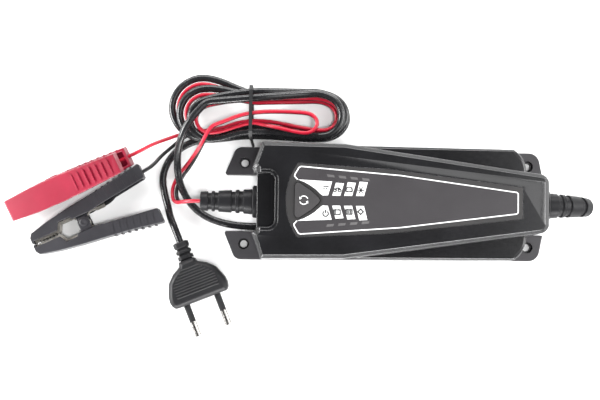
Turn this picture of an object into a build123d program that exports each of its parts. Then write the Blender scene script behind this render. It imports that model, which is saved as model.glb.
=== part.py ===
"""Small automatic car battery charger with its mains lead, battery lead and two battery clamps.

The case lies flat on its two foot rails. X runs along the case towards the mains end, Z is up and
the origin is the centre of the case's underside, mounting ears included. All sizes are millimetres.
"""

import math
import os

from build123d import *

os.makedirs("parts", exist_ok=True)

# Case: plan outline, heights and walls.
EAR_LEFT, EAR_RIGHT = -92.6, 92.0
HOLE_LEFT, HOLE_RIGHT, HOLE_Y = -81.0, 83.0, 23.5
EAR_THICK = 6.0
HOLE_R, HOLE_HEAD_R, HOLE_HEAD_DEPTH = 2.15, 3.2, 3.8
CASE_HEIGHT = 42.0
SPLIT_Z = 21.0
SHOULDER_Z = 28.0
WALL = 2.4
END_LEFT, END_RIGHT = -73.0, 90.0
LOBE_X, LOBE_Y, LOBE_SLANT = -75.6, 17.6, 5.2
HALF_WIDTH, HALF_WIDTH_RIGHT = 32.6, 31.4
RIDGE_START, RIDGE_END = (-24.0, 31.9), (85.0, 16.6)
SCOOP_START, SCOOP_MIDDLE, SCOOP_END = (72.0, HALF_WIDTH_RIGHT), (76.9, 26.6), (79.2, 17.6)
NOSE_MIDDLE, NOSE_HALF = (88.6, 14.8), 11.6
EDGE_SOFTEN, SHOULDER_SOFTEN = 2.2, 1.2
SHELF_Z, SHELF_END, SHELF_HALF = 34.0, -62.6, 15.2
TROUGH_DEPTH, TROUGH_HALF = 5.4, 16.3

# Label and mode key on the top face.
LABEL_THICK = 0.8
LABEL_BULGE, LABEL_LEFT, LABEL_RIGHT = -56.4, -50.2, 75.0
LABEL_HALF_LEFT, LABEL_HALF_MIDDLE, LABEL_HALF_RIGHT = 20.6, 17.9, 8.8
KEY_LEFT, KEY_TIP, KEY_HALF = -51.7, -37.6, 9.7
KEY_GAP = 0.35
KEY_TRAVEL = 0.8
WINDOW_X, WINDOW_PITCH, WINDOW_Y, WINDOW_SLOPE = -31.7, 6.5, 13.9, 0.09
WINDOW_LONG, WINDOW_WIDE = 4.2, 2.0

# Circuit boards inside the case.
BOARD_LEFT, BOARD_RIGHT, BOARD_HALF = -58.0, 64.0, 20.0
BOARD_Z, BOARD_THICK = 13.6, 1.6
PANEL_BOARD_LEFT, PANEL_BOARD_RIGHT, PANEL_BOARD_HALF = -55.0, -6.0, 17.0
PANEL_BOARD_Z, PANEL_BOARD_THICK = 31.0, 1.2
POST_SPOTS = [(-48.0, 15.0), (-48.0, -15.0), (56.0, 15.0), (56.0, -15.0)]

# Cable entries, with their axis on the joint line between the two case halves.
GLAND_NECK_R, GLAND_FLANGE_R, GLAND_FLANGE = 5.0, 9.2, 2.7
SLEEVE_LENGTH, SLEEVE_ROOT_R, SLEEVE_TIP_R = 29.6, 7.2, 5.4
SLEEVE_DROP = 50.0
SLEEVE_BEND_R = 31.0

# Case screws, driven up from below.
SCREW_SPOTS = [(-62.0, 25.6), (-62.0, -25.6), (60.0, 24.6), (60.0, -24.6)]
SCREW_R, SCREW_HEAD_R, SCREW_HEAD_Z = 1.5, 2.9, 4.2

# Leads.
MAINS_R = 2.1
WIRE_R = 1.05
PAIR = 1.2

# Hank: mains lead outside and the battery pair inside it, folded in flat turns one on another.
WAIST_X, WAIST_Y = -77.5, 51.6
LAYER = 4.85
INNER = 3.9
RIGHT_LOBES = [(-24.5, 50.2, 13.0), (-21.6, 50.9, 13.6), (-23.6, 50.3, 13.2), (-20.9, 50.6, 13.4)]
LEFT_LOBES = [(-113.5, 47.2, 12.8), (-120.0, 51.0, 16.0), (-125.2, 54.9, 19.4)]
RIGHT_CENTRE_X = -38.0
WAIST_UP = [7.5, 12.0, 9.6, 11.0]
WAIST_DOWN = [9.5, 6.0, 11.6, 8.4]

HANK_FLOOR = 0.8
PAIR_FIRST_LOBE, PAIR_FIRST_CENTRE_X = (-39.0, 45.2, 6.3), -47.0
TIE_WIDTH, TIE_THICK = 2.0, 0.7

# Battery clamps, in their own frame: P runs from the nose to the grips, Q towards the fixed arm.
CLAMP_NOSE, CLAMP_REAR = -32.0, 42.0
PIVOT_R, PIVOT_GAP = 1.5, 0.05
NOSE_HALF_WIDTH, WAIST_HALF_WIDTH, REAR_HALF_WIDTH = 6.2, 7.5, 5.7
ARM_SKIN = 1.6
LUG_INSIDE, LUG_OUTSIDE = 3.9, 5.3
WIRE_Q = 13.4
TAIL_Q, TAIL_W = 5.4, -0.9
TOOTH = 2.0

# Where the two clamps and the plug lie.
BLACK_PIVOT, BLACK_YAW = (-172.5, -12.8), 25.0
RED_PIVOT, RED_YAW, RED_PITCH, RED_LEAN = (-187.3, 6.5), 24.0, 10.0, 9.0
PLUG_AT, PLUG_YAW = (-117.6, -23.2), -68.1

# Plug body and pins.
PLUG_THICK, PLUG_NECK, PLUG_BODY = 13.7, 12.0, 35.5
PIN_SPACING, PIN_R, PIN_SLEEVE_R, PIN_CORE_R = 18.6, 2.0, 1.9, 1.5
PIN_SLEEVE, PIN_TIP = 10.0, 9.0


def save(shape, name):
    """Writes one node of the assembly."""
    export_step(shape, f"parts/{name}.step")


def box(x0, x1, y0, y1, z0, z1):
    """A box between two corners."""
    return Pos((x0 + x1) / 2, (y0 + y1) / 2, (z0 + z1) / 2) * Box(x1 - x0, y1 - y0, z1 - z0)


def rod(radius, length, at, axis=(0, 0, 1)):
    """A round bar that starts at a point and runs along an axis."""
    return Plane(origin=at, z_dir=axis) * Pos(0, 0, length / 2) * Cylinder(radius, length)


def stud(radius, length, at, axis=(0, 0, 1), sides=8):
    """A many-sided bar for the small round things that neither turn nor take a screw."""
    return extrude(Plane(origin=at, z_dir=axis) * RegularPolygon(radius, sides), length)


def prism(face, z0, z1):
    """A flat face, drawn at height zero, raised between two heights."""
    return Pos(0, 0, z0) * extrude(face, z1 - z0, dir=(0, 0, 1))


def softened_prism(face, z0, z1, soften):
    """A raised face whose upper rim slopes in at 45 degrees."""
    rim = extrude(Pos(0, 0, z1 - soften) * face, soften, taper=45)
    return prism(face, z0, z1 - soften) + rim


def plate(points, z0, z1):
    """A straight-sided outline raised between two heights."""
    return prism(make_face(Polyline(*points, close=True)), z0, z1)


def mirrored_outline(start, steps):
    """A closed face from the upper half of an outline: points, or (through, end) pairs for arcs."""
    edges = []
    here = start
    for step in steps:
        if isinstance(step[0], tuple):
            through, end = step
            edges.append(ThreePointArc(here, through, end))
            below = [(x, -y) for x, y in (here, through, end)]
            edges.append(ThreePointArc(*below))
        else:
            end = step
            edges.append(Line(here, end))
            edges.append(Line((here[0], -here[1]), (end[0], -end[1])))
        here = end
    for x, y in (start, here):
        if y > 0:
            edges.append(Line((x, y), (x, -y)))
    face = make_face(edges).face()
    return Face((face if face.normal_at().Z > 0 else -face).outer_wire())


def body_outline():
    """Plan of both case halves, scooped out to leave room for the mains-end ears."""
    return mirrored_outline(
        (END_LEFT, LOBE_Y),
        [
            (LOBE_X, LOBE_Y),
            (LOBE_X + LOBE_SLANT, HALF_WIDTH),
            SCOOP_START,
            (SCOOP_MIDDLE, SCOOP_END),
            RIDGE_END,
            (NOSE_MIDDLE, (END_RIGHT, NOSE_HALF)),
        ],
    )


def ridge_outline():
    """Plan of the raised top, full width at the battery end and narrow at the mains end."""
    return mirrored_outline(
        (END_LEFT, LOBE_Y),
        [
            (LOBE_X, LOBE_Y),
            (LOBE_X + LOBE_SLANT, HALF_WIDTH),
            RIDGE_START,
            RIDGE_END,
            (NOSE_MIDDLE, (END_RIGHT, NOSE_HALF)),
        ],
    )


def label_outline():
    """Plan of the printed label, bowed round the key and tapered like the ridge."""
    return mirrored_outline(
        (LABEL_BULGE, 0),
        [
            ((LABEL_BULGE + 1.6, 11.0), (LABEL_LEFT, LABEL_HALF_LEFT)),
            (0, LABEL_HALF_MIDDLE),
            (LABEL_RIGHT, LABEL_HALF_RIGHT),
        ],
    )


def key_outline():
    """Plan of the mode key: a rounded arrowhead that points at the lamps."""
    corner = [(KEY_LEFT + 1.0, KEY_HALF), (KEY_LEFT + 2.6, KEY_HALF)]
    return mirrored_outline((KEY_LEFT, KEY_HALF - 1.6), [*corner, (-42.4, 5.2), (-38.4, 1.6), (KEY_TIP, 0)])


def ear_outlines():
    """Plans of the four mounting ears, which run in under the case walls."""
    corners = [(EAR_LEFT, TROUGH_HALF), (EAR_LEFT + 6.6, HALF_WIDTH), (-60, HALF_WIDTH), (-60, TROUGH_HALF)]
    left = make_face(Polyline(*corners, close=True))
    left = fillet([v for v in left.vertices() if v.X < EAR_LEFT + 1], 1.2)
    left = fillet([v for v in left.vertices() if v.X < -70 and v.Y > 30], 5.0)
    corners = [(66, HALF_WIDTH_RIGHT), (89, HALF_WIDTH_RIGHT), (EAR_RIGHT, TROUGH_HALF), (66, TROUGH_HALF)]
    right = make_face(Polyline(*corners, close=True))
    right = fillet([v for v in right.vertices() if v.X > 80 and v.Y > 30], 6.5)
    return [left, right, mirror(left, Plane.XZ), mirror(right, Plane.XZ)]


def windows():
    """Centres of the eight lamps, four along each side of the label."""
    spots = []
    for side in (1, -1):
        for n in range(4):
            along = WINDOW_PITCH * n
            spots.append((WINDOW_X + along, side * (WINDOW_Y - WINDOW_SLOPE * along)))
    return spots


def window_slot(x, y):
    """The slot of one lamp through the label and the cover."""
    return Pos(x, y, CASE_HEIGHT - 2.5) * Box(WINDOW_LONG, WINDOW_WIDE, 7)


def gland_bores():
    """The round holes that both case halves share for the two cable entries."""
    left = stud(GLAND_NECK_R, 12, (END_LEFT - 4, 0, SPLIT_Z), (1, 0, 0), 12)
    right = stud(GLAND_NECK_R, 12, (END_RIGHT - 8, 0, SPLIT_Z), (1, 0, 0), 12)
    return left + right


def lower_case():
    """Tray with the ears, the two foot rails and the cable trough between them."""
    tray = prism(body_outline(), 0, SPLIT_Z)
    for ear in ear_outlines():
        tray += prism(ear, 0, EAR_THICK)
    tray -= prism(offset(body_outline(), -WALL, kind=Kind.INTERSECTION), TROUGH_DEPTH + WALL, SPLIT_Z)
    tray -= box(-95, 95, -TROUGH_HALF, TROUGH_HALF, 0, TROUGH_DEPTH)
    for x, y in SCREW_SPOTS:
        tray += stud(4.6, SPLIT_Z - SCREW_HEAD_Z, (x, y, SCREW_HEAD_Z), sides=6)
        tray -= stud(SCREW_HEAD_R + 0.6, SCREW_HEAD_Z, (x, y, 0), sides=6)
        tray -= stud(SCREW_R + 0.3, SPLIT_Z, (x, y, 0), sides=6)
    for x, y in POST_SPOTS:
        tray += stud(3.0, BOARD_Z - TROUGH_DEPTH - 1, (x, y, TROUGH_DEPTH + 1), sides=4)
    for x in (HOLE_LEFT, HOLE_RIGHT):
        for y in (HOLE_Y, -HOLE_Y):
            tray -= rod(HOLE_R, EAR_THICK, (x, y, 0))
            tray -= rod(HOLE_HEAD_R, HOLE_HEAD_DEPTH, (x, y, EAR_THICK - HOLE_HEAD_DEPTH))
    return tray - gland_bores()


def upper_case():
    """Cover with the raised tapered ridge, its low shoulders and the shelf over the battery gland."""
    cover = softened_prism(body_outline(), SPLIT_Z, SHOULDER_Z, SHOULDER_SOFTEN)
    cover += softened_prism(ridge_outline(), SPLIT_Z, CASE_HEIGHT, EDGE_SOFTEN)
    corners = [(-90, -SHELF_HALF), (SHELF_END, -SHELF_HALF), (SHELF_END, SHELF_HALF), (-90, SHELF_HALF)]
    shelf = make_face(Polyline(*corners, close=True))
    shelf = fillet([v for v in shelf.vertices() if v.X > -80], 4.0)
    cover -= prism(shelf, SHELF_Z, CASE_HEIGHT + 1)
    hollow = offset(body_outline(), -WALL, kind=Kind.INTERSECTION)
    cover -= prism(hollow, SPLIT_Z, SHOULDER_Z - WALL)
    attic = offset(ridge_outline(), -WALL - 0.8, kind=Kind.INTERSECTION)
    attic = prism(attic, SPLIT_Z, CASE_HEIGHT - WALL)
    cover -= attic - box(-90, SHELF_END + WALL, -40, 40, SHELF_Z - WALL, 60)
    cover -= box(END_LEFT + WALL, END_LEFT + 6, -7.5, 7.5, SPLIT_Z, 28.5)
    cover -= box(END_RIGHT - 6, END_RIGHT - WALL, -7.5, 7.5, SPLIT_Z, 28.5)
    for x, y in SCREW_SPOTS:
        top = SHOULDER_Z - 1 if x > 0 else SHELF_Z - WALL
        cover += stud(4.6, top - SPLIT_Z, (x, y, SPLIT_Z), sides=6)
        cover -= stud(SCREW_R + 0.02, 6, (x, y, SPLIT_Z), sides=6)
    cover -= prism(label_outline(), CASE_HEIGHT - LABEL_THICK, CASE_HEIGHT)
    cover -= prism(offset(key_outline(), KEY_GAP, kind=Kind.INTERSECTION), CASE_HEIGHT - 4, CASE_HEIGHT)
    for x, y in windows():
        cover -= window_slot(x, y)
    return cover - gland_bores()


def case_gasket():
    """Cord seal, laid just inside the joint line of the two halves."""
    outer = offset(body_outline(), -WALL - 0.1, kind=Kind.INTERSECTION)
    inner = offset(body_outline(), -WALL - 1.3, kind=Kind.INTERSECTION)
    seal = prism(outer, SPLIT_Z - 1, SPLIT_Z + 1) - prism(inner, SPLIT_Z - 1, SPLIT_Z + 1)
    for x, y in SCREW_SPOTS:
        seal -= stud(4.8, 4, (x, y, SPLIT_Z - 2), sides=6)
    gaps = box(-80, -60, -7.4, 7.4, 10, 30) + box(80, 95, -7.4, 7.4, 10, 30)
    return seal - gaps


def case_screws():
    """Four thread-forming screws with round heads, sunk in the foot rails."""
    screws = []
    for x, y in SCREW_SPOTS:
        head = stud(SCREW_HEAD_R, 1.8, (x, y, SCREW_HEAD_Z - 1.8), sides=6)
        shank = stud(SCREW_R, SPLIT_Z + 4 - SCREW_HEAD_Z, (x, y, SCREW_HEAD_Z), sides=6)
        screws.append(head + shank)
    return Compound(screws)


def label_panel():
    """Printed polycarbonate label in its recess, cut out for the key."""
    sheet = prism(offset(label_outline(), -0.1), CASE_HEIGHT - LABEL_THICK, CASE_HEIGHT - 0.15)
    sheet -= prism(offset(key_outline(), KEY_GAP, kind=Kind.INTERSECTION), CASE_HEIGHT - 4, CASE_HEIGHT)
    for x, y in windows():
        sheet -= window_slot(x, y)
    return sheet


def mode_button():
    """Arrowhead key with a flange under the cover and a stem down to the switch."""
    cap = prism(key_outline(), CASE_HEIGHT - 3.4, CASE_HEIGHT + 0.5)
    underside = CASE_HEIGHT - WALL
    flange = prism(offset(key_outline(), 1.3, kind=Kind.INTERSECTION), underside - 1.3, underside)
    stem = stud(1.6, 2.6, (-46, 0, CASE_HEIGHT - WALL - 3.9))
    return cap + flange + stem


def light_pipes():
    """Eight clear bars that carry the lamps' light up to the label."""
    pipes = []
    low = PANEL_BOARD_Z + PANEL_BOARD_THICK + 1.2
    for x, y in windows():
        bar = box(x - 1.95, x + 1.95, y - 0.85, y + 0.85, low, CASE_HEIGHT - 0.2)
        pipes.append(bar)
    carrier = box(-34, -9.5, 11.4, 13.4, low, low + 1.4)
    bars = [carrier + sum(pipes[1:4], pipes[0]), mirror(carrier, Plane.XZ) + sum(pipes[5:8], pipes[4])]
    return Compound(bars)


def indicator_leds():
    """Eight lamps soldered to the panel board under the light pipes."""
    base = PANEL_BOARD_Z + PANEL_BOARD_THICK
    return Compound([box(x - 1.5, x + 1.5, y - 0.8, y + 0.8, base, base + 1.0) for x, y in windows()])


def panel_board():
    """Small board under the cover for the key and the lamps, on four pins of the main board."""
    left, right, half = PANEL_BOARD_LEFT, PANEL_BOARD_RIGHT, PANEL_BOARD_HALF
    sheet = box(left, right, -half, half, PANEL_BOARD_Z, PANEL_BOARD_Z + PANEL_BOARD_THICK)
    below = BOARD_Z + BOARD_THICK
    for x in (left + 4, right - 3):
        for y in (12, -12):
            sheet += stud(1.2, PANEL_BOARD_Z - below, (x, y, below), sides=4)
    return sheet


def mode_switch():
    """Click switch on the panel board, right under the key's stem."""
    base = PANEL_BOARD_Z + PANEL_BOARD_THICK
    body = box(-49, -43, -3, 3, base, base + 2.2)
    return body + stud(1.7, 0.25, (-46, 0, base + 2.2))


def circuit_board():
    """Main board, resting on four posts of the tray."""
    return box(BOARD_LEFT, BOARD_RIGHT, -BOARD_HALF, BOARD_HALF, BOARD_Z, BOARD_Z + BOARD_THICK)


def board_screws():
    """Pan-head screws that hold the main board to its posts."""
    top = BOARD_Z + BOARD_THICK
    return Compound([stud(2.2, 1.3, (x, y, top)) for x, y in POST_SPOTS])


def transformer_core():
    """Ferrite core of the switching transformer: two E halves round the winding."""
    top = BOARD_Z + BOARD_THICK
    core = box(2, 22, -11, 11, top + 2, top + 18)
    return core - box(5.5, 18.5, -12, 12, top + 5, top + 15)


def transformer_winding():
    """Taped winding on its bobbin, through the window of the core."""
    top = BOARD_Z + BOARD_THICK
    coil = box(5.7, 18.3, -13, 13, top + 5.2, top + 14.8)
    feet = box(4, 20, -13, -11.3, top, top + 5.2) + box(4, 20, 11.3, 13, top, top + 5.2)
    return coil + feet


def upright_can(radius, height, x, y):
    """A radial capacitor that stands on the main board."""
    return stud(radius, height, (x, y, BOARD_Z + BOARD_THICK), sides=12)


def mains_capacitor():
    """Smoothing capacitor at the mains end."""
    return upright_can(6.2, 20, 44, 4)


def output_capacitors():
    """Three low-voltage capacitors at the battery end."""
    return Compound([upright_can(3.9, 12.5, x, y) for x, y in ((-38, 9), (-38, -1), (-29, 4))])


def heat_sink():
    """Finned aluminium bracket beside the transformer."""
    top = BOARD_Z + BOARD_THICK
    sink = box(-4, 26, -18.6, -16.8, top, top + 20) + box(-4, 26, -16.8, -15.4, top, top + 2)
    for x in (-3, 25):
        sink += box(x - 0.8, x + 0.8, -16.8, -15.0, top + 2, top + 20)
    return sink


def power_transistors():
    """Two tabbed transistors screwed to the heat sink."""
    top = BOARD_Z + BOARD_THICK
    return Compound([box(x, x + 9.5, -16.8, -13.4, top + 3, top + 17) for x in (-1, 13)])


def mains_fuse():
    """Sleeved fuse lying between the mains wires and the choke."""
    return stud(2.6, 16, (52, -8.5, BOARD_Z + BOARD_THICK + 2.6), (-1, 0, 0))


def input_choke():
    """Ring choke that stands on the board at the mains end."""
    ring = stud(7.5, 6.5, (29.5, 8, BOARD_Z + BOARD_THICK + 7.5), (1, 0, 0), 12)
    return ring - stud(3.2, 8, (28.5, 8, BOARD_Z + BOARD_THICK + 7.5), (1, 0, 0), 12)


def relay():
    """Output relay that keeps the clamps dead until a battery is found."""
    top = BOARD_Z + BOARD_THICK
    return box(-22, -7, -6, 6, top, top + 14)


def gland_root(x, outwards):
    """The part of a strain relief that the case grips: outer flange, neck and inner flange."""
    axis = (outwards, 0, 0)
    wall = x - outwards * WALL
    root = stud(GLAND_FLANGE_R, GLAND_FLANGE, (x, 0, SPLIT_Z), axis, 16)
    root += stud(GLAND_NECK_R - 0.05, WALL + 0.1, (wall - outwards * 0.1, 0, SPLIT_Z), axis, 12)
    return root + stud(GLAND_NECK_R + 1.6, 1.8, (wall - outwards * 1.9, 0, SPLIT_Z), axis, 12)


def sleeve(bend, lengths):
    """A tapered sleeve along a line: stiff lengths, given from the root, on a thinner square core."""
    core = sweep(Plane(bend @ 0, x_dir=(0, 1, 0), z_dir=bend % 0) * Rectangle(6.6, 6.6), path=bend)
    for start, end in lengths:
        middle = (start + end) / 2 / bend.length
        plane = Plane(bend @ middle, x_dir=(0, 1, 0), z_dir=bend % middle)
        radius = SLEEVE_ROOT_R + (SLEEVE_TIP_R - SLEEVE_ROOT_R) * start / bend.length
        ring = plane * Pos(0, 0, (start - end) / 2) * RegularPolygon(radius, 10)
        taper = math.degrees(math.atan((SLEEVE_ROOT_R - SLEEVE_TIP_R) / bend.length))
        core += extrude(ring, end - start, taper=taper)
    return core


def output_gland():
    """Straight tapered strain relief of the battery lead."""
    face = END_LEFT - GLAND_FLANGE
    bend = Line((face, 0, SPLIT_Z), (face - SLEEVE_LENGTH, 0, SPLIT_Z))
    lengths = [(0, 5.2), (7.4, 9.6), (11.8, 19.4), (21.4, 23.2), (25.2, SLEEVE_LENGTH)]
    return gland_root(END_LEFT, -1) + sleeve(bend, lengths)


def mains_gland():
    """Strain relief of the mains lead, which droops towards the surface that the case stands on."""
    face = END_RIGHT + GLAND_FLANGE
    half = math.radians(SLEEVE_DROP / 2)
    middle = (face + SLEEVE_BEND_R * math.sin(half), 0, SPLIT_Z - SLEEVE_BEND_R * (1 - math.cos(half)))
    bend = ThreePointArc((face, 0, SPLIT_Z), middle, sleeve_tip())
    lengths = [(0, 4.8), (6.8, 8.8), (11.2, 18.8), (21.0, bend.length - 0.8)]
    return gland_root(END_RIGHT, 1) + sleeve(bend, lengths)


def sleeve_tip():
    """Where the mains lead leaves its strain relief."""
    turn = math.radians(SLEEVE_DROP)
    x = END_RIGHT + GLAND_FLANGE + SLEEVE_BEND_R * math.sin(turn)
    return (x, 0, SPLIT_Z - SLEEVE_BEND_R * (1 - math.cos(turn)))


def lobe(shape, centre_x, inset, side):
    """Five points round one end of a loop, from its upper shoulder to its lower one."""
    tip, middle, half = shape
    half -= inset
    reach = abs(tip - centre_x) - inset
    points = []
    for n in range(5):
        angle = math.radians(90 - 45 * n)
        points.append((centre_x + side * reach * math.cos(angle), middle + half * math.sin(angle)))
    return points


def step_down(start, end, top, foot, shares=(0.24, 0.78)):
    """Two points on the straight run between two plan points, where the lead goes down a layer."""
    run = []
    for share, z in zip(shares, (top, foot)):
        x, y = (a + (b - a) * share for a, b in zip(start, end))
        run.append((x, y, z))
    return run


def straight_on(point, other, distance):
    """The point a distance past a route's end, straight on from its neighbour."""
    return tuple(Vector(*point) + (Vector(*point) - Vector(*other)).normalized() * distance)


def hank_points(inset, height, entry, leave):
    """One lead's way round the hank, in flat clockwise turns with a step down between them."""
    turns = len(RIGHT_LOBES)
    points = [(*entry, height + LAYER * turns)]
    for n in range(turns):
        upper = height + LAYER * (turns - n)
        level = upper - LAYER
        below = (WAIST_X, WAIST_Y - WAIST_DOWN[n] + inset)
        if inset > 0 and n == 0:
            right = lobe(PAIR_FIRST_LOBE, PAIR_FIRST_CENTRE_X, 0, 1)
            points += [(WAIST_X, WAIST_Y, upper)] + [(x, y, upper) for x, y in right]
            points += step_down(right[-1], below, upper, level, (0.6, 0.92))
        else:
            waist = (WAIST_X, WAIST_Y + WAIST_UP[n] - inset)
            right = lobe(RIGHT_LOBES[n], RIGHT_CENTRE_X, inset, 1)
            points += [(*waist, upper)] + step_down(waist, right[0], upper, level)
            points += [(x, y, level) for x, y in right]
        points.append((*below, level))
        if n < turns - 1:
            tip, middle, half = LEFT_LOBES[n]
            left = lobe(LEFT_LOBES[n], tip + half * 1.1, inset, -1)
            points += [(x, y, level) for x, y in reversed(left)]
    return points + [(*leave, height)]


def largest_radii(points):
    """The largest arc that each corner of a route has room for."""
    radii = []
    for before, corner, after in zip(points, points[1:], points[2:]):
        arriving = Vector(*corner) - Vector(*before)
        leaving = Vector(*after) - Vector(*corner)
        turn = math.radians(arriving.get_angle(leaving))
        radii.append(0.45 * min(arriving.length, leaving.length) / math.tan(turn / 2))
    return radii


def lead(name, points, radius, outline, stretch=0.45):
    """A length of insulated lead swept along straight runs and tangent arcs."""
    radii = [stretch / 0.45 * r for r in largest_radii(points)]
    route = FilletPolyline(*points, radius=radii)
    section = Plane(route @ 0, x_dir=(0, 0, 1), z_dir=route % 0) * outline
    tube = sweep(section, path=route)
    print(
        f"{name}: {route.length:.0f} mm, tightest radius {min(radii):.1f},"
        f" volume {tube.volume / section.area / route.length:.3f} of section times length"
    )
    if "hank" in name:
        print(f"{name}: least gap to itself {own_gap(route, radius):.2f} mm")
    return tube


def own_gap(route, radius):
    """The least free space between two stretches of one lead, measured on points."""
    count = int(route.length / 1.5)
    spots = [route @ (n / count) for n in range(count + 1)]
    apart = int(10 * radius / 1.5)
    least = 99.0
    for n, spot in enumerate(spots):
        for other in spots[n + apart :]:
            if abs(spot.X - other.X) < 6 and abs(spot.Y - other.Y) < 6:
                least = min(least, (spot - other).length)
    return least - 2 * radius


def mains_points():
    """The mains lead: under the case, along the floor to the hank, and from the hank to the plug."""
    x, _, z = sleeve_tip()
    drop = math.radians(SLEEVE_DROP)
    hank = hank_points(0, HANK_FLOOR + MAINS_R, (-97.5, 57.2), (-107.0, 36.4))
    start = [
        (x, 0, z),
        (x + 4.2 * math.cos(drop), 0, z - 4.2 * math.sin(drop)),
        (x + 3.0, 0, z - 7.2),
        (x - 1.6, 0, MAINS_R),
        (x - 9.0, -0.6, MAINS_R),
        (92.0, -0.4, MAINS_R),
        (62.0, 1.8, MAINS_R),
        (22.0, 0.6, MAINS_R),
        (-20.0, -6.2, MAINS_R),
        (-52.0, -12.4, MAINS_R),
        (-74.0, -13.6, MAINS_R),
        (-90.0, -12.6, MAINS_R),
        (-101.5, -9.2, MAINS_R),
        (-110.3, -3.2, MAINS_R + 0.6),
        (-116.0, 4.6, 4.6),
        (-119.0, 13.0, 8.6),
        (-119.9, 21.5, 10.4),
        (-119.2, 30.0, 15.4),
        (-116.4, 38.5, 20.8),
        (-111.8, 46.6, 22.6),
        (-106.2, 53.2, 22.6),
        straight_on(hank[0], hank[1], 5),
        hank[0],
    ]
    end = [
        hank[-1],
        straight_on(hank[-1], hank[-2], 6),
        (-120.6, 30.6, MAINS_R),
        (-126.4, 23.4, MAINS_R),
        (-129.2, 14.6, MAINS_R),
        (-127.8, 5.6, MAINS_R),
        (-125.4, -2.8, MAINS_R),
        (-123.6, -9.4, 4.6),
        tuple(plug_plane().from_local_coords((-8, 0, PLUG_THICK / 2))),
        tuple(plug_plane().from_local_coords((0, 0, PLUG_THICK / 2))),
    ]
    return start, hank, end


def pair_hank():
    """The battery pair's way round the hank: two wires bonded edge to edge, one above the other."""
    return hank_points(INNER, HANK_FLOOR + 2 * WIRE_R + 0.15, (-95.0, 44.6), (-109.0, 41.2))


def pair_start(sign):
    """One battery wire up to the hank: sign is 1 for the positive wire, on top or outside, and -1."""
    hank = pair_hank()
    tip_x = END_LEFT - GLAND_FLANGE - SLEEVE_LENGTH
    middle = [
        ((tip_x, 0, SPLIT_Z), (0, 0, 1)),
        ((tip_x - 4.0, 0, SPLIT_Z), (-0.2, 0, 0.98)),
        ((tip_x - 9.6, -0.4, 17.6), (-0.6, 0, 0.8)),
        ((tip_x - 13.8, -0.4, 10.8), (-0.85, -0.2, 0.5)),
        ((tip_x - 16.2, 2.2, 4.8), (-0.97, -0.2, 0.1)),
        ((tip_x - 16.6, 8.6, 2.6), (-1, 0.1, 0)),
        ((tip_x - 13.4, 15.4, 2.6), (-0.85, 0.5, 0.1)),
        ((tip_x - 8.4, 21.0, 6.6), (-0.7, 0.4, 0.5)),
        ((tip_x - 4.2, 26.0, 14.6), (-0.7, -0.1, 0.6)),
        ((tip_x - 0.4, 31.2, 21.4), (-0.3, -0.2, 0.9)),
        (straight_on(hank[0], hank[1], 6), (0, 0, 1)),
        (hank[0], (0, 0, 1)),
    ]
    return [tuple(Vector(*point) + Vector(*side) * PAIR * sign) for point, side in middle]


def clamp_plane(pivot, yaw, pitch=0.0, lean=0.0, fixed_up=True):
    """The frame of a clamp: X towards the grips, Y towards the fixed arm, Z along the hinge pin."""
    yaw, pitch, lean = (math.radians(angle) for angle in (yaw, pitch, lean))
    along = Vector(math.cos(pitch) * math.cos(yaw), math.cos(pitch) * math.sin(yaw), math.sin(pitch))
    side = Vector(-math.sin(yaw), math.cos(yaw), 0)
    above = along.cross(side)
    pin = above if fixed_up else side * math.cos(lean) + above * math.sin(lean)
    return Plane(origin=pivot, x_dir=along, z_dir=pin)


def arm_side():
    """Side view of the fixed arm: closed nose, throat behind the teeth, long grip."""
    nose = [(-30.6, 0.3), (-31.6, 0.3), (-32, 1.0), (-32, 4.2), (-30.4, 6.5)]
    back = [(-20, 8.9), (-6, 11.2), (6, 12.7), (24, 15.2), (41.2, 18.4)]
    grip = [(42, 17.6), (42, 10.2), (41.2, 9.5), (12, 5.6), (6, 4.4)]
    throat = [(-5.4, 4.4), (-6.6, 6.1), (-13.4, 6.1), (-15.6, 1.8), (-30.6, 1.8)]
    return make_face(Polyline(*nose, *back, *grip, *throat, close=True))


def arm_plan(skin=0.0):
    """Back view of an arm: widest behind the jaw, narrower at the nose and the grip."""
    nose, waist, rear = NOSE_HALF_WIDTH - skin, WAIST_HALF_WIDTH - skin, REAR_HALF_WIDTH - skin
    half = [(CLAMP_NOSE - 1, nose), (-12, waist), (6, waist), (CLAMP_REAR + 1, rear)]
    return make_face(Polyline(*half, *[(p, -w) for p, w in reversed(half)], close=True))


def across(face, half):
    """A side-view face given a width along the hinge pin."""
    return extrude(face, half, both=True, dir=(0, 0, 1))


def back_view(face, low, high):
    """A back-view face given a depth across the opening."""
    turned = Rot(90, 0, 0) * face
    return Pos(0, low, 0) * extrude(turned, high - low, dir=(0, 1, 0))


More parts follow.
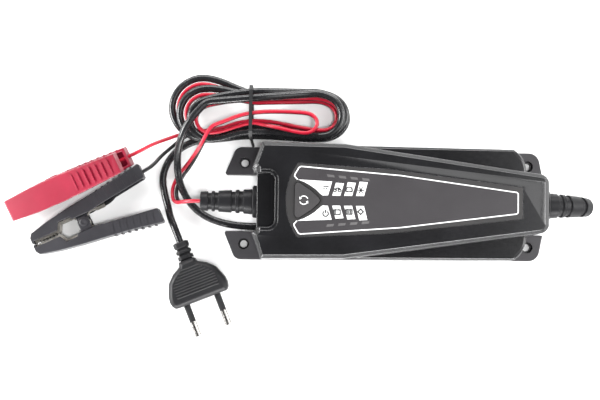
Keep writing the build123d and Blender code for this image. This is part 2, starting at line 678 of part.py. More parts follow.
def clamp_arm(fixed):
    """One insulated arm: a channel with a solid nose, hinge lugs, jaw ribs and grip ridges."""
    arm = across(arm_side(), 9) & back_view(arm_plan(), -1, 20)
    front = [(-30.6, -1), (-30.6, 4.8), (-20, 7.3), (-6, 9.6)]
    rear = [(6, 11.1), (24, 13.6), (40.4, 16.6), (40.4, -1)]
    inside = make_face(Polyline(*front, *rear, close=True))
    arm -= across(inside, 9) & back_view(arm_plan(ARM_SKIN), -2, 20)
    for p, low, high in ((-27, 2.6, 7.0), (-10, 6.0, 10.0)):
        arm += box(p - 0.8, p + 0.8, low, high, -5.0, 5.0)
    for n in range(7):
        p = 13.5 + 3.9 * n
        q = 13.4 + 0.172 * (p - 12)
        arm += Pos(p, q + 0.1, 0) * Rot(0, 0, 9.8) * Box(1.3, 1.3, 9.6 - 0.13 * n)
    inner, outer, root = LUG_INSIDE, LUG_OUTSIDE, 10.6
    if not fixed:
        inner, outer, root = WAIST_HALF_WIDTH - ARM_SKIN, WAIST_HALF_WIDTH - 0.1, 5.0
    lug = [(-3.4, root), (-3.4, -1.4), (-1.4, -3.4), (1.4, -3.4), (3.4, -1.4), (3.4, root)]
    arm += plate(lug, inner, outer) + plate(lug, -outer, -inner)
    arm -= rod(PIVOT_R + (0.02 if fixed else PIVOT_GAP), 18, (0, 0, -9))
    if fixed:
        arm -= stud(WIRE_R + 0.4, 4, (CLAMP_REAR - 3, WIRE_Q, 0), (1, 0, 0))
        return arm
    return mirror(arm, Plane.XZ)


def clamp_jaw(fixed):
    """Plated steel jaw: a toothed strip stepped up over the throat, with a tail for the wire."""
    teeth = [(-30.2, 2.6), (-30.2, 0.25)]
    for n in range(7):
        teeth += [(-30.2 + TOOTH * (n + 0.5), 1.15), (-30.2 + TOOTH * (n + 1), 0.25)]
    outline = teeth + [(-15.0, 1.0), (-13.0, 4.8), (-6.6, 4.8), (-6.6, 6.0), (-13.8, 6.0), (-15.6, 2.6)]
    jaw = across(make_face(Polyline(*outline, close=True)), 4.3)
    if fixed:
        return jaw + box(-6.6, 9.0, 4.8, 6.0, TAIL_W - 2.4, TAIL_W + 2.4)
    return mirror(jaw, Plane.XZ)


def clamp_crimp():
    """Folded crimp that joins the wire to the tail of the fixed jaw."""
    return stud(1.8, 5.5, (9.0, TAIL_Q, TAIL_W), (1, 0, 0), 6)


def clamp_pin():
    """Hinge pin through all four lugs."""
    return rod(PIVOT_R, 14.6, (0, 0, -7.3))


def clamp_spring():
    """Torsion spring round the pin, with one leg in each arm."""
    coil = stud(3.1, 7.2, (0, 0, -3.6), sides=12) - stud(2.0, 9, (0, 0, -4.5), sides=12)
    leg = Vector(12.5, 8.6, 0)
    for side, w in ((1, 2.9), (-1, -2.9)):
        coil += stud(0.7, leg.length, (1.4, side * 2.2, w), (leg.X, side * leg.Y, 0), 4)
    return coil


def clamp(colour, plane):
    """All the pieces of one clamp, in place."""
    pieces = {
        "fixed_arm": clamp_arm(True),
        "moving_arm": clamp_arm(False),
        "fixed_jaw": clamp_jaw(True),
        "moving_jaw": clamp_jaw(False),
        "wire_crimp": clamp_crimp(),
        "hinge_pin": clamp_pin(),
        "torsion_spring": clamp_spring(),
    }
    return {f"{colour}_{name}": plane * shape for name, shape in pieces.items()}


def wire_to_clamp(sign, loose, plane):
    """One battery wire from the hank to its clamp, in by the grip and along the arm to the crimp."""
    hank = pair_hank()
    step = Vector(0, 0, PAIR * sign)
    first = [Vector(*hank[-1]) + step, Vector(*straight_on(hank[-1], hank[-2], 4)) + step]
    local = [(49.0, WIRE_Q + 0.9, 0), (41.5, WIRE_Q, 0), (30.0, 11.3, TAIL_W / 2), (22.0, 7.8, TAIL_W)]
    local += [(18.0, TAIL_Q, TAIL_W), (14.5, TAIL_Q, TAIL_W)]
    inside = [plane.from_local_coords(point) for point in local]
    return [tuple(v) for v in first] + loose + [tuple(v) for v in inside]


def cable_tie():
    """Thin strap round the waist of the hank, with its twisted tail."""
    low, high = WAIST_Y - max(WAIST_DOWN) - MAINS_R - 0.3, WAIST_Y + max(WAIST_UP) + MAINS_R + 0.3
    top = HANK_FLOOR + MAINS_R * 2 + LAYER * len(RIGHT_LOBES) + 0.4
    middle, width, height = (low + high) / 2, high - low, top - TIE_THICK
    corner = (WAIST_X - TIE_WIDTH / 2, middle, (TIE_THICK + top) / 2)
    plane = Plane(origin=corner, x_dir=(0, 1, 0), z_dir=(1, 0, 0))
    outer = chamfer(Rectangle(width + 2 * TIE_THICK, height + 2 * TIE_THICK).vertices(), 3.0)
    strap = outer - chamfer(Rectangle(width, height).vertices(), 2.6)
    ring = extrude(plane * strap, TIE_WIDTH, dir=(1, 0, 0))
    return ring + stud(0.8, 5, (WAIST_X, low - 0.2, 6.0), (0.3, -1, 0.2), 4)


def plug_plane():
    """The plug's frame: X from the neck towards the pins, Z up from the floor."""
    yaw = math.radians(PLUG_YAW)
    return Plane(origin=(*PLUG_AT, 0), x_dir=(math.cos(yaw), math.sin(yaw), 0), z_dir=(0, 0, 1))


def plug_body():
    """Flat two-pin plug: hexagonal body, tapered back, ribbed neck."""
    outline = mirrored_outline(
        (PLUG_NECK - 1, 4.9),
        [
            (PLUG_NECK + 1.5, 5.2),
            (16.4, 10.4),
            (20.4, 14.4),
            (27.5, 17.2),
            (30.6, 17.65),
            (33.4, 17.2),
            (PLUG_BODY, 15.6),
        ],
    )
    half = softened_prism(outline, 0, PLUG_THICK / 2, 2.0)
    body = Pos(0, 0, PLUG_THICK / 2) * (half + mirror(half, Plane.XY))
    neck = box(0, PLUG_NECK + 1, -4.5, 4.5, PLUG_THICK / 2 - 4.0, PLUG_THICK / 2 + 4.0)
    neck = chamfer(neck.edges().filter_by(Axis.X), 1.6)
    core = box(0, PLUG_NECK, -3.4, 3.4, PLUG_THICK / 2 - 2.9, PLUG_THICK / 2 + 2.9)
    for a in (3.6, 7.0, 10.2):
        neck -= box(a, a + 1.2, -6, 6, 0, 20) - core
    return plug_plane() * (body + neck)


def plug_pin_sleeves():
    """Insulating sleeves on the root half of each pin."""
    sleeves = []
    for side in (1, -1):
        at = (PLUG_BODY, side * PIN_SPACING / 2, PLUG_THICK / 2)
        bore = stud(PIN_CORE_R, PIN_SLEEVE, at, (1, 0, 0))
        sleeves.append(stud(PIN_SLEEVE_R, PIN_SLEEVE, at, (1, 0, 0), 12) - bore)
    return plug_plane() * Compound(sleeves)


def plug_pins():
    """Nickel-plated pins with rounded ends."""
    pins = []
    for side in (1, -1):
        y, z = side * PIN_SPACING / 2, PLUG_THICK / 2
        tip = rod(PIN_R, PIN_TIP, (PLUG_BODY + PIN_SLEEVE, y, z), (1, 0, 0))
        pins.append(tip + stud(PIN_CORE_R, PIN_SLEEVE, (PLUG_BODY, y, z), (1, 0, 0)))
    return plug_plane() * Compound(pins)


CASE = [lower_case, upper_case, case_gasket, case_screws, label_panel, mode_button]
LAMPS = [light_pipes, indicator_leds, panel_board, mode_switch]
ELECTRONICS = [circuit_board, board_screws, transformer_core, transformer_winding, mains_capacitor]
ELECTRONICS += [output_capacitors, heat_sink, power_transistors, mains_fuse, input_choke, relay]
FITTINGS = [output_gland, mains_gland, cable_tie, plug_body, plug_pin_sleeves, plug_pins]

for maker in CASE + LAMPS + ELECTRONICS + FITTINGS:
    save(maker(), maker.__name__)

MAINS_SECTION = Rectangle(1.68 * MAINS_R, 1.68 * MAINS_R)
WIRE_SECTION = Rectangle(1.45 * WIRE_R, 1.45 * WIRE_R)
PAIR_SECTION = Rectangle(2 * PAIR + 1.7 * WIRE_R, 1.7 * WIRE_R)

mains_start, mains_hank, mains_end = mains_points()
save(lead("mains_lead_start", mains_start, MAINS_R, MAINS_SECTION), "mains_lead_start")
save(lead("mains_lead_hank", mains_hank, MAINS_R, MAINS_SECTION, 0.25), "mains_lead_hank")
save(lead("mains_lead_end", mains_end, MAINS_R, MAINS_SECTION), "mains_lead_end")
save(lead("battery_lead_hank", pair_hank(), WIRE_R, PAIR_SECTION, 0.25), "battery_lead_hank")

black_plane = clamp_plane((*BLACK_PIVOT, WAIST_HALF_WIDTH), BLACK_YAW)
red_plane = clamp_plane((*RED_PIVOT, 0), RED_YAW, RED_PITCH, RED_LEAN, fixed_up=False)
red_height = -(red_plane * clamp_arm(True)).bounding_box().min.Z
red_plane = clamp_plane((*RED_PIVOT, red_height), RED_YAW, RED_PITCH, RED_LEAN, fixed_up=False)
print("red clamp pivot height", round(red_height, 3), "pin axis", red_plane.z_dir)

for colour, plane in (("black_clamp", black_plane), ("red_clamp", red_plane)):
    for name, piece in clamp(colour, plane).items():
        save(piece, name)

LOOSE_BLACK = [(-119.2, 36.6, 1.6), (-125.0, 31.6, 1.4), (-130.2, 26.6, 3.4)]
LOOSE_RED = [(-119.6, 39.4, 4.4), (-126.6, 36.6, 5.6), (-134.0, 33.4, 9.4)]
for name, sign, loose, plane in (
    ("positive_lead", 1, LOOSE_RED, red_plane),
    ("negative_lead", -1, LOOSE_BLACK, black_plane),
):
    save(lead(f"{name}_start", pair_start(sign), WIRE_R, WIRE_SECTION), f"{name}_start")
    save(lead(f"{name}_end", wire_to_clamp(sign, loose, plane), WIRE_R, WIRE_SECTION), f"{name}_end")
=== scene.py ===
"""Looks of a car battery charger with its mains lead, battery lead and two clamps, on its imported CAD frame.

Lengths are written in millimetres and turned to metres by MM. X runs along the case towards the
mains end, Y across it and Z up from the surface that everything lies on.
"""

import math

import bmesh
import bpy
from mathutils import Matrix, Vector


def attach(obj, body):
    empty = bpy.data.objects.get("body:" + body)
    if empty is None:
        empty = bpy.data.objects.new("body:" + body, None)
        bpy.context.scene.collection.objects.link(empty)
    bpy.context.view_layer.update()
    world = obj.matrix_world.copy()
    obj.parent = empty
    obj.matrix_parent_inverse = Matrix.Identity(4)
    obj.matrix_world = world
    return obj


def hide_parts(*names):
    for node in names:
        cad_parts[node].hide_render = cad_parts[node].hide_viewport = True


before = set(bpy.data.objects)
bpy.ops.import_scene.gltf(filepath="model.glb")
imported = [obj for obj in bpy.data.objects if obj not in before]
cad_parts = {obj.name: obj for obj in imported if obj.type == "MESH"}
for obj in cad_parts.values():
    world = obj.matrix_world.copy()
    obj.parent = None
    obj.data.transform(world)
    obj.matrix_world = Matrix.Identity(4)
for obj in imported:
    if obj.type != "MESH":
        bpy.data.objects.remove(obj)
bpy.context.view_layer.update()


# ---------------------------------------------------------------- tray
# The lower half of the case, with four mounting ears, screw bosses and a trough for a folded lead.
# One injection moulding in black ABS from a lightly textured mould. Its base colour is painted a little
# greyer than the cover's, as painted sheen that stands in for the light its upturned ears catch.

MM = 0.001
# The body that every piece rides on, unless it moves.
ROOT = "charger"


def new_group(name, outputs):
    """A shader group with inputs for the grain's scale and depth, and its two end nodes."""
    group = bpy.data.node_groups.new(name, "ShaderNodeTree")
    group.interface.new_socket("Scale", in_out="INPUT", socket_type="NodeSocketFloat")
    group.interface.new_socket("Depth", in_out="INPUT", socket_type="NodeSocketFloat")
    for socket, kind in outputs:
        group.interface.new_socket(socket, in_out="OUTPUT", socket_type=kind)
    return group, group.nodes.new("NodeGroupInput"), group.nodes.new("NodeGroupOutput")


def grain_group():
    """Moulded-plastic surface: soft large mottling, fine pits and a slow wander in gloss."""
    outputs = [("Mottle", "NodeSocketFloat"), ("Gloss", "NodeSocketFloat"), ("Normal", "NodeSocketVector")]
    group, start, end = new_group("moulded_grain", outputs)
    nodes, links = group.nodes, group.links
    place = nodes.new("ShaderNodeTexCoord")
    mottle = nodes.new("ShaderNodeTexNoise")
    mottle.inputs["Scale"].default_value = 45.0
    mottle.inputs["Detail"].default_value = 3.0
    pits = nodes.new("ShaderNodeTexNoise")
    pits.inputs["Detail"].default_value = 4.0
    bump = nodes.new("ShaderNodeBump")
    bump.inputs["Distance"].default_value = 0.0004
    links.new(place.outputs["Object"], mottle.inputs["Vector"])
    links.new(place.outputs["Object"], pits.inputs["Vector"])
    links.new(start.outputs["Scale"], pits.inputs["Scale"])
    links.new(start.outputs["Depth"], bump.inputs["Strength"])
    links.new(pits.outputs["Fac"], bump.inputs["Height"])
    links.new(mottle.outputs["Fac"], end.inputs["Mottle"])
    links.new(pits.outputs["Fac"], end.inputs["Gloss"])
    links.new(bump.outputs["Normal"], end.inputs["Normal"])
    return group


GRAIN = grain_group()


def surface(name, dark, light, gloss, scale=900.0, depth=0.12, metallic=0.0, **settings):
    """A material: two close colours mixed by mottling, a range of roughness, and fine grain."""
    material = bpy.data.materials.new(name)
    material.use_nodes = True
    nodes, links = material.node_tree.nodes, material.node_tree.links
    shader = nodes["Principled BSDF"]
    grain = nodes.new("ShaderNodeGroup")
    grain.node_tree = GRAIN
    grain.inputs["Scale"].default_value = scale
    grain.inputs["Depth"].default_value = depth
    tint = nodes.new("ShaderNodeValToRGB")
    tint.color_ramp.elements[0].position = 0.3
    tint.color_ramp.elements[0].color = (*dark, 1)
    tint.color_ramp.elements[1].position = 0.7
    tint.color_ramp.elements[1].color = (*light, 1)
    rough = nodes.new("ShaderNodeMapRange")
    rough.inputs["From Min"].default_value = 0.3
    rough.inputs["From Max"].default_value = 0.7
    rough.inputs["To Min"].default_value = gloss[0]
    rough.inputs["To Max"].default_value = gloss[1]
    links.new(grain.outputs["Mottle"], tint.inputs["Fac"])
    links.new(grain.outputs["Gloss"], rough.inputs["Value"])
    links.new(tint.outputs["Color"], shader.inputs["Base Color"])
    links.new(rough.outputs["Result"], shader.inputs["Roughness"])
    links.new(grain.outputs["Normal"], shader.inputs["Normal"])
    shader.inputs["Metallic"].default_value = metallic
    for socket, value in settings.items():
        shader.inputs[socket.replace("_", " ")].default_value = value
    return material


def link(obj, material, body=ROOT):
    """Puts an object in the scene with its material and says what it rides on."""
    bpy.context.scene.collection.objects.link(obj)
    obj.data.materials.clear()
    obj.data.materials.append(material)
    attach(obj, body)
    return obj


def shade(mesh, flat):
    """Smooth shading that keeps edges sharper than an angle."""
    mesh.shade_smooth()
    mesh.set_sharp_from_angle(angle=math.radians(flat))


# An edge is rounded where it folds by more than SHARP_FROM, and where the faces beside it and the edge
# itself are this many times the rounding's width.
SHARP_FROM = math.radians(28)
FACE_ROOM, EDGE_ROOM = 2.3, 1.2


def room(edge, width):
    """Whether both faces of an edge are wide enough for a rounding of that width."""
    low, high = (v.co for v in edge.verts)
    along = (high - low).normalized()
    for face in edge.link_faces:
        reach = max(((v.co - low) - along * (v.co - low).dot(along)).length for v in face.verts)
        if reach < FACE_ROOM * width:
            return False
    return (high - low).length > EDGE_ROOM * width


def weigh(obj):
    """Bakes area-weighted normals, so that flats stay flat beside their rounded edges."""
    obj.modifiers.new("weigh", "WEIGHTED_NORMAL").keep_sharp = True
    graph = bpy.context.evaluated_depsgraph_get()
    baked = bpy.data.meshes.new_from_object(obj.evaluated_get(graph), depsgraph=graph)
    obj.modifiers.clear()
    obj.data = baked


def dressed(node, material, widths, body=ROOT):
    """A CAD node's copy with clean flats and edges rounded as widely as their faces allow."""
    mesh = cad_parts[node].data.copy()
    mesh.name = node + "_skin"
    clean = bmesh.new()
    clean.from_mesh(mesh)
    bmesh.ops.remove_doubles(clean, verts=clean.verts, dist=2e-6)
    bmesh.ops.dissolve_limit(clean, angle_limit=math.radians(1.5), verts=clean.verts, edges=clean.edges)
    for width in widths:
        folded = [e for e in clean.edges if len(e.link_faces) == 2]
        sharp = [e for e in folded if e.calc_face_angle() > SHARP_FROM and room(e, width * MM)]
        bmesh.ops.bevel(
            clean, geom=sharp, offset=width * MM, segments=3, profile=0.5, affect="EDGES", clamp_overlap=False
        )
    clean.to_mesh(mesh)
    clean.free()
    shade(mesh, 40)
    obj = link(bpy.data.objects.new(node + "_skin", mesh), material, body)
    weigh(obj)
    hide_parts(node)
    return obj


# Painted sheen: the tray's black is raised towards grey to stand in for the light its flat ears catch.
TRAY_BLACK_PAINTED_SHEEN = surface("tray_black_painted_sheen", (0.026, 0.025, 0.027), (0.034, 0.033, 0.036), (0.30, 0.42), 1200, 0.05)
dressed("lower_case", TRAY_BLACK_PAINTED_SHEEN, (0.5,))


# ---------------------------------------------------------------- cover
# The upper half, with the raised tapered deck, its sloped wings and the landing over the battery lead.
# It is moulded in the same ABS from a polished tool, so it has a wet-looking gloss, and it keeps the plain
# deep black without the tray's painted sheen.
# Four screws from below hold it down on the tray.

CASE_BLACK = surface("case_black", (0.006, 0.006, 0.0065), (0.009, 0.009, 0.010), (0.16, 0.22), 500, 0.012)
dressed("upper_case", CASE_BLACK, (0.55, 0.2))


# ---------------------------------------------------------------- landing rim
# Two fine raised beads follow the rounded edge of the landing, on top of the deck.
# They are part of the cover's moulding, in its own black ABS, and about half a millimetre wide.

DECK_Z = 42.0
LANDING_START, LANDING_END = -72.2, -62.6
LANDING_HALF, LANDING_R = 15.2, 4.0


def arc(centre, radius, start, end, steps):
    """Points along an arc, its angles in degrees."""
    spots = []
    for n in range(steps + 1):
        angle = math.radians(start + (end - start) * n / steps)
        spots.append((centre[0] + radius * math.cos(angle), centre[1] + radius * math.sin(angle)))
    return spots


def grown(name, tree, settings, seed, place, body=ROOT, flat=30.0):
    """What a node tree makes from the seed data, baked into a plain mesh at its place."""
    source = bpy.data.objects.new(name + "_seed", seed)
    bpy.context.scene.collection.objects.link(source)
    modifier = source.modifiers.new(tree.name, "NODES")
    modifier.node_group = tree
    for socket in tree.interface.items_tree:
        if socket.name in settings:
            modifier[socket.identifier] = settings[socket.name]
    shape = source.evaluated_get(bpy.context.evaluated_depsgraph_get())
    mesh = bpy.data.meshes.new_from_object(shape)
    source.modifiers.remove(modifier)
    bpy.data.objects.remove(source)
    mesh.name = name
    spot = place.copy()
    spot.translation *= MM
    mesh.transform(spot)
    shade(mesh, flat)
    return link(bpy.data.objects.new(name, mesh), settings["Material"], body)


def sweep_tree():
    """A round bead of a given radius along the curve that the tree is put on."""
    tree = bpy.data.node_groups.new("bead_sweep", "GeometryNodeTree")
    sockets = [("Geometry", "Geometry"), ("Radius", "Float"), ("Sides", "Int"), ("Material", "Material")]
    for socket, kind in sockets:
        tree.interface.new_socket(socket, in_out="INPUT", socket_type="NodeSocket" + kind)
    tree.interface.new_socket("Geometry", in_out="OUTPUT", socket_type="NodeSocketGeometry")
    nodes, links = tree.nodes, tree.links
    start, end = nodes.new("NodeGroupInput"), nodes.new("NodeGroupOutput")
    round_line, sweep = nodes.new("GeometryNodeCurvePrimitiveCircle"), nodes.new("GeometryNodeCurveToMesh")
    sweep.inputs["Fill Caps"].default_value = True
    paint = nodes.new("GeometryNodeSetMaterial")
    links.new(start.outputs["Radius"], round_line.inputs["Radius"])
    links.new(start.outputs["Sides"], round_line.inputs["Resolution"])
    links.new(start.outputs["Geometry"], sweep.inputs["Curve"])
    links.new(round_line.outputs["Curve"], sweep.inputs["Profile Curve"])
    links.new(sweep.outputs["Mesh"], paint.inputs["Geometry"])
    links.new(start.outputs["Material"], paint.inputs["Material"])
    links.new(paint.outputs["Geometry"], end.inputs["Geometry"])
    return tree


SWEEP = sweep_tree()


def bead(name, out, radius=0.3):
    """A half-sunk bead round the landing, a distance outside its edge."""
    corner_x, corner_y = LANDING_END - LANDING_R, LANDING_HALF - LANDING_R
    path = [(LANDING_START, -LANDING_HALF - out)]
    path += arc((corner_x, -corner_y), LANDING_R + out, -90, 0, 8)
    path += arc((corner_x, corner_y), LANDING_R + out, 0, 90, 8)
    path.append((LANDING_START, LANDING_HALF + out))
    line = bpy.data.curves.new(name + "_line", "CURVE")
    line.dimensions = "3D"
    spline = line.splines.new("POLY")
    spline.points.add(len(path) - 1)
    for point, (x, y) in zip(spline.points, path):
        point.co = (x * MM, y * MM, DECK_Z * MM, 1)
    settings = {"Radius": radius * MM, "Sides": 10, "Material": CASE_BLACK}
    return grown(name, SWEEP, settings, line, Matrix.Identity(4), flat=40)


bead("landing_bead_inner", 0.1)
bead("landing_bead_outer", 1.8)


# ---------------------------------------------------------------- seal and case screws
# A grey rubber gasket is squeezed in the joint between the tray and the cover.
# Four zinc-plated self-tapping screws go up through the tray's bosses and pull the halves together.


def finish(material, *nodes):
    """Puts one material on CAD nodes that keep their shape."""
    for node in nodes:
        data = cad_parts[node].data
        for n in range(len(data.materials)):
            data.materials[n] = material


SEAL_GREY = surface("seal_grey", (0.060, 0.060, 0.062), (0.085, 0.085, 0.088), (0.60, 0.75), 1200, 0.20)
STEEL = surface("plated_steel", (0.46, 0.43, 0.39), (0.62, 0.59, 0.54), (0.40, 0.54), 900, 0.10, 1.0)
finish(SEAL_GREY, "case_gasket")
finish(STEEL, "case_screws")


# ---------------------------------------------------------------- label and its print
# A thin polycarbonate label glued in a recess of the cover's deck, cut out round the key.
# It is screen printed: a dark field, smoked windows over the lamps, then a white outline and the eight
# white programme tiles. Each printed layer is a skin just above the one below it.

LABEL_TOP = 41.85
FIELD, INK, MARK = LABEL_TOP + 0.04, LABEL_TOP + 0.08, LABEL_TOP + 0.12
OUTLINE_WIDTH = 0.64


def flat_faces(name, outlines, height, material):
    """One thin printed layer: every outline is a face that looks up from the label."""
    points, faces = [], []
    for outline in outlines:
        area = sum(a[0] * b[1] - b[0] * a[1] for a, b in zip(outline, outline[1:] + outline[:1]))
        ordered = outline if area > 0 else outline[::-1]
        faces.append(tuple(range(len(points), len(points) + len(ordered))))
        points += [(x, y, height) for x, y in ordered]
    mesh = bpy.data.meshes.new(name)
    mesh.from_pydata([Vector(p) * MM for p in points], [], faces)
    return link(bpy.data.objects.new(name, mesh), material)


def stroke(points, width, closed=False):
    """Quads that follow a line with mitred corners, as outlines for a printed layer."""
    count = len(points)
    sides = []
    for n, here in enumerate(points):
        before = points[n - 1] if n > 0 or closed else None
        after = points[(n + 1) % count] if n < count - 1 or closed else None
        into = (Vector(here) - Vector(before)).normalized() if before else None
        out = (Vector(after) - Vector(here)).normalized() if after else None
        along = ((into or out) + (out or into)).normalized()
        across = Vector((-along.y, along.x))
        stretch = 1.0 / max(0.4, across.dot(Vector((-(out or into).y, (out or into).x))))
        sides.append([tuple(Vector(here) + across * side * width / 2 * stretch) for side in (1, -1)])
    last = count if closed else count - 1
    return [[*sides[n], *reversed(sides[(n + 1) % count])] for n in range(last)]


def mirrored(outlines):
    """The same outlines on the other side of the label."""
    return [[(x, -y) for x, y in outline] for outline in outlines]


def wedge():
    """The long tile beside the key, hollowed by an arc that runs round the key."""
    edge = [(-50.2, 11.5), (-46.6, 10.2), (-43.2, 8.4), (-40.2, 6.3), (-37.6, 3.9), (-36.2, 2.8)]
    return edge + [(-33.2, 2.9), (-31.0, 10.6)]


FAR_LINE = [(-50.2, 11.5), (-51.9, 13.3), (-51.7, 14.4), (-49.4, 18.3), (-48.2, 18.8), (6.9, 14.5)]
FAR_LINE += [(71.6, 6.0), (72.4, 5.2)]
LABEL_LINE = FAR_LINE + [(x, -y) for x, y in reversed(FAR_LINE)]
KEY_SIDE = wedge()[1:6]
NEAR_KEY = [(x, -y) for x, y in KEY_SIDE] + KEY_SIDE[::-1]
TILES = [wedge()]
for x in (-28.9, -22.3, -15.7):
    top = 11.7 + 0.06 * x
    TILES.append([(x, top), (x + 4.5, top - 0.3), (x + 2.5, 2.75), (x - 1.9, 2.8)])
LAMP_PITCH, LAMP_STEP = 6.5, 0.585
WINDOWS = []
for n in range(4):
    x, y = -31.7 + LAMP_PITCH * n, 13.9 - LAMP_STEP * n
    WINDOWS.append([(x - 2.3, y + 0.75), (x + 1.7, y + 0.35), (x + 2.2, y - 1.05), (x - 1.8, y - 0.75)])

LABEL_GREY = surface("label_border", (0.018, 0.0175, 0.018), (0.024, 0.023, 0.023), (0.34, 0.44), 2600, 0.05)
LABEL_DARK = surface("label_field", (0.021, 0.019, 0.021), (0.027, 0.025, 0.027), (0.36, 0.46), 2600, 0.05)
SMOKED = surface("smoked_window", (0.070, 0.067, 0.068), (0.090, 0.087, 0.088), (0.20, 0.30), 2600, 0.03)
INK_WHITE = surface("ink_white", (0.56, 0.56, 0.56), (0.62, 0.62, 0.62), (0.38, 0.46), 2600, 0.03)
finish(LABEL_GREY, "label_panel")
flat_faces("label_field", [LABEL_LINE + NEAR_KEY], FIELD, LABEL_DARK)
flat_faces("label_windows", WINDOWS + mirrored(WINDOWS), INK, SMOKED)
white = stroke(LABEL_LINE, OUTLINE_WIDTH) + TILES + mirrored(TILES)
flat_faces("label_white", white, INK, INK_WHITE)


# ---------------------------------------------------------------- programme signs
# One small sign on each white tile tells what a programme is for.
# They are the last pass of the screen print, in black ink over the white.


def placed(outlines, centre, size):
    """Outlines drawn round the origin, brought to a tile."""
    x0, y0 = centre
    return [[(x0 + x * size, y0 + y * size) for x, y in outline] for outline in outlines]


def frame_mark(width, height, line):
    """A rectangular outline."""
    w, h = width / 2, height / 2
    return stroke([(-w, -h), (w, -h), (w, h), (-w, h)], line, closed=True)


def bar_mark(x0, x1, y0, y1):
    """A filled rectangle."""
    return [[(x0, y0), (x1, y0), (x1, y1), (x0, y1)]]


def power_mark():
    """Standby symbol: an open ring with a short bar."""
    return stroke(arc((0, 0), 1.2, 125, 415, 16), 0.62) + bar_mark(-0.31, 0.31, 0.2, 1.7)


def snow_mark():
    """Six-pointed winter mark."""
    rays = []
    for n in range(3):
        x, y = 1.5 * math.cos(math.pi * n / 3), 1.5 * math.sin(math.pi * n / 3)
        rays += stroke([(-x, -y), (x, y)], 0.5)
    return rays


def scooter_mark():
    """Two wheels and a frame, for the small-battery programme."""
    wheels = []
    for x in (-1.0, 1.0):
        wheels += stroke(arc((x, -0.5), 0.65, 0, 360, 14), 0.5)
    return wheels + stroke([(-1.0, -0.5), (-0.2, 0.5), (0.7, 0.5), (1.0, -0.5)], 0.6)


def car_mark():
    """A car from the front, for the large-battery programme."""
    outline = [(-1.4, -0.7), (-1.4, 0.2), (-0.8, 1.1), (0.8, 1.1), (1.4, 0.2), (1.4, -0.7)]
    body = stroke(outline, 0.55, closed=True) + bar_mark(-1.3, 1.3, 0.05, 0.3)
    return body + bar_mark(-1.2, -0.6, -1.2, -0.7) + bar_mark(0.6, 1.2, -1.2, -0.7)


def battery_mark(cells):
    """A battery case with its two posts and some filled cells."""
    body = frame_mark(2.8, 2.0, 0.55) + bar_mark(-1.0, -0.5, 1.1, 1.45) + bar_mark(0.5, 1.0, 1.1, 1.45)
    for n in range(cells):
        body += bar_mark(-1.05 + 0.75 * n, -0.5 + 0.75 * n, -0.7, 0.7)
    return body


def wave_mark():
    """A short line over a dotted one, for direct voltage."""
    dots = bar_mark(-1.2, -0.5, -0.75, -0.2) + bar_mark(-0.1, 0.6, -0.75, -0.2)
    return bar_mark(-1.2, 1.2, 0.2, 0.75) + dots


def warning_mark():
    """A lozenge with a hole, for a fault."""
    return stroke([(-1.2, 0), (0, -1.2), (1.2, 0), (0, 1.2)], 0.65, closed=True)


TILE_SPOTS = [(-34.4, 7.3), (-28.1, 6.4), (-21.5, 6.2), (-15.0, 6.0)]
SIGN_SIZE = 1.25
UPPER_MARKS = [wave_mark(), scooter_mark(), car_mark(), snow_mark()]
LOWER_MARKS = [power_mark(), battery_mark(1), battery_mark(3), warning_mark()]
INK_BLACK = surface("ink_black", (0.020, 0.020, 0.021), (0.030, 0.030, 0.031), (0.40, 0.50), 2600, 0.03)
marks = []
for (x, y), upper, lower in zip(TILE_SPOTS, UPPER_MARKS, LOWER_MARKS):
    marks += placed(upper, (x, y), SIGN_SIZE) + placed(lower, (x, -y), SIGN_SIZE)
flat_faces("label_marks", marks, MARK, INK_BLACK)


# ---------------------------------------------------------------- key and lamps
# A round key of dark grey plastic slides in a hole of the cover and works a tact switch below it.
# A ring of two chasing arrows is pad printed on it in white: press to step on.
# Eight clear acrylic light pipes bring the light of the lamps on the board up to the windows.

KEY_PRINT, KEY_X = 42.53, -46.6
ARROW_R, ARROW_LINE, ARROW_TURN, HEAD_TURN = 2.3, 0.5, 125, 30
BARB_OUT, BARB_IN, BARB_BACK = 3.15, 1.45, 3


def chasing_arrow(start):
    """One arrow of the ring, a bent shaft and a pointed head, from its start in degrees."""
    neck = start + ARROW_TURN
    shaft = stroke(arc((KEY_X, 0), ARROW_R, start, neck, 12), ARROW_LINE)
    tip = arc((KEY_X, 0), ARROW_R, neck, neck + HEAD_TURN, 1)[1]
    heel = neck - BARB_BACK
    outer, inner = (arc((KEY_X, 0), radius, heel, heel, 1)[0] for radius in (BARB_OUT, BARB_IN))
    return shaft + [[outer, tip, inner]]


KEY_GREY = surface("key_grey", (0.024, 0.023, 0.024), (0.034, 0.032, 0.033), (0.38, 0.50), 1800, 0.08)
CHIP_BLACK = surface("chip_black", (0.014, 0.014, 0.016), (0.022, 0.022, 0.024), (0.46, 0.60), 1200, 0.12)
LENS = surface("lamp_lens", (0.20, 0.21, 0.21), (0.27, 0.28, 0.28), (0.18, 0.26), 1200, 0.04)
LED_CREAM = surface("led_cream", (0.62, 0.60, 0.46), (0.74, 0.72, 0.58), (0.26, 0.36), 900, 0.05)
finish(KEY_GREY, "mode_button")
finish(CHIP_BLACK, "mode_switch")
finish(LENS, "light_pipes")
finish(LED_CREAM, "indicator_leds")
key_mark = flat_faces("key_mark", chasing_arrow(20) + chasing_arrow(200), KEY_PRINT, INK_WHITE)
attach(key_mark, "mode_button")


# ---------------------------------------------------------------- circuit boards
# A small board for the lamps and the key's switch stands on pins of the main board. The main board is
# screwed on four pillars of the tray. Both are glass-fibre laminate under green resist.

BOARD_GREEN = surface("board_green", (0.012, 0.085, 0.035), (0.020, 0.120, 0.050), (0.30, 0.42), 500, 0.08)
finish(BOARD_GREEN, "panel_board", "circuit_board")
finish(STEEL, "board_screws")


# ---------------------------------------------------------------- parts on the main board
# A ferrite transformer with its winding in yellow tape, a ferrite ring choke, capacitors in blue
# sleeves, a finned aluminium bracket that cools the transistors, a sleeved fuse and a relay.
# All of them are soldered to the board.

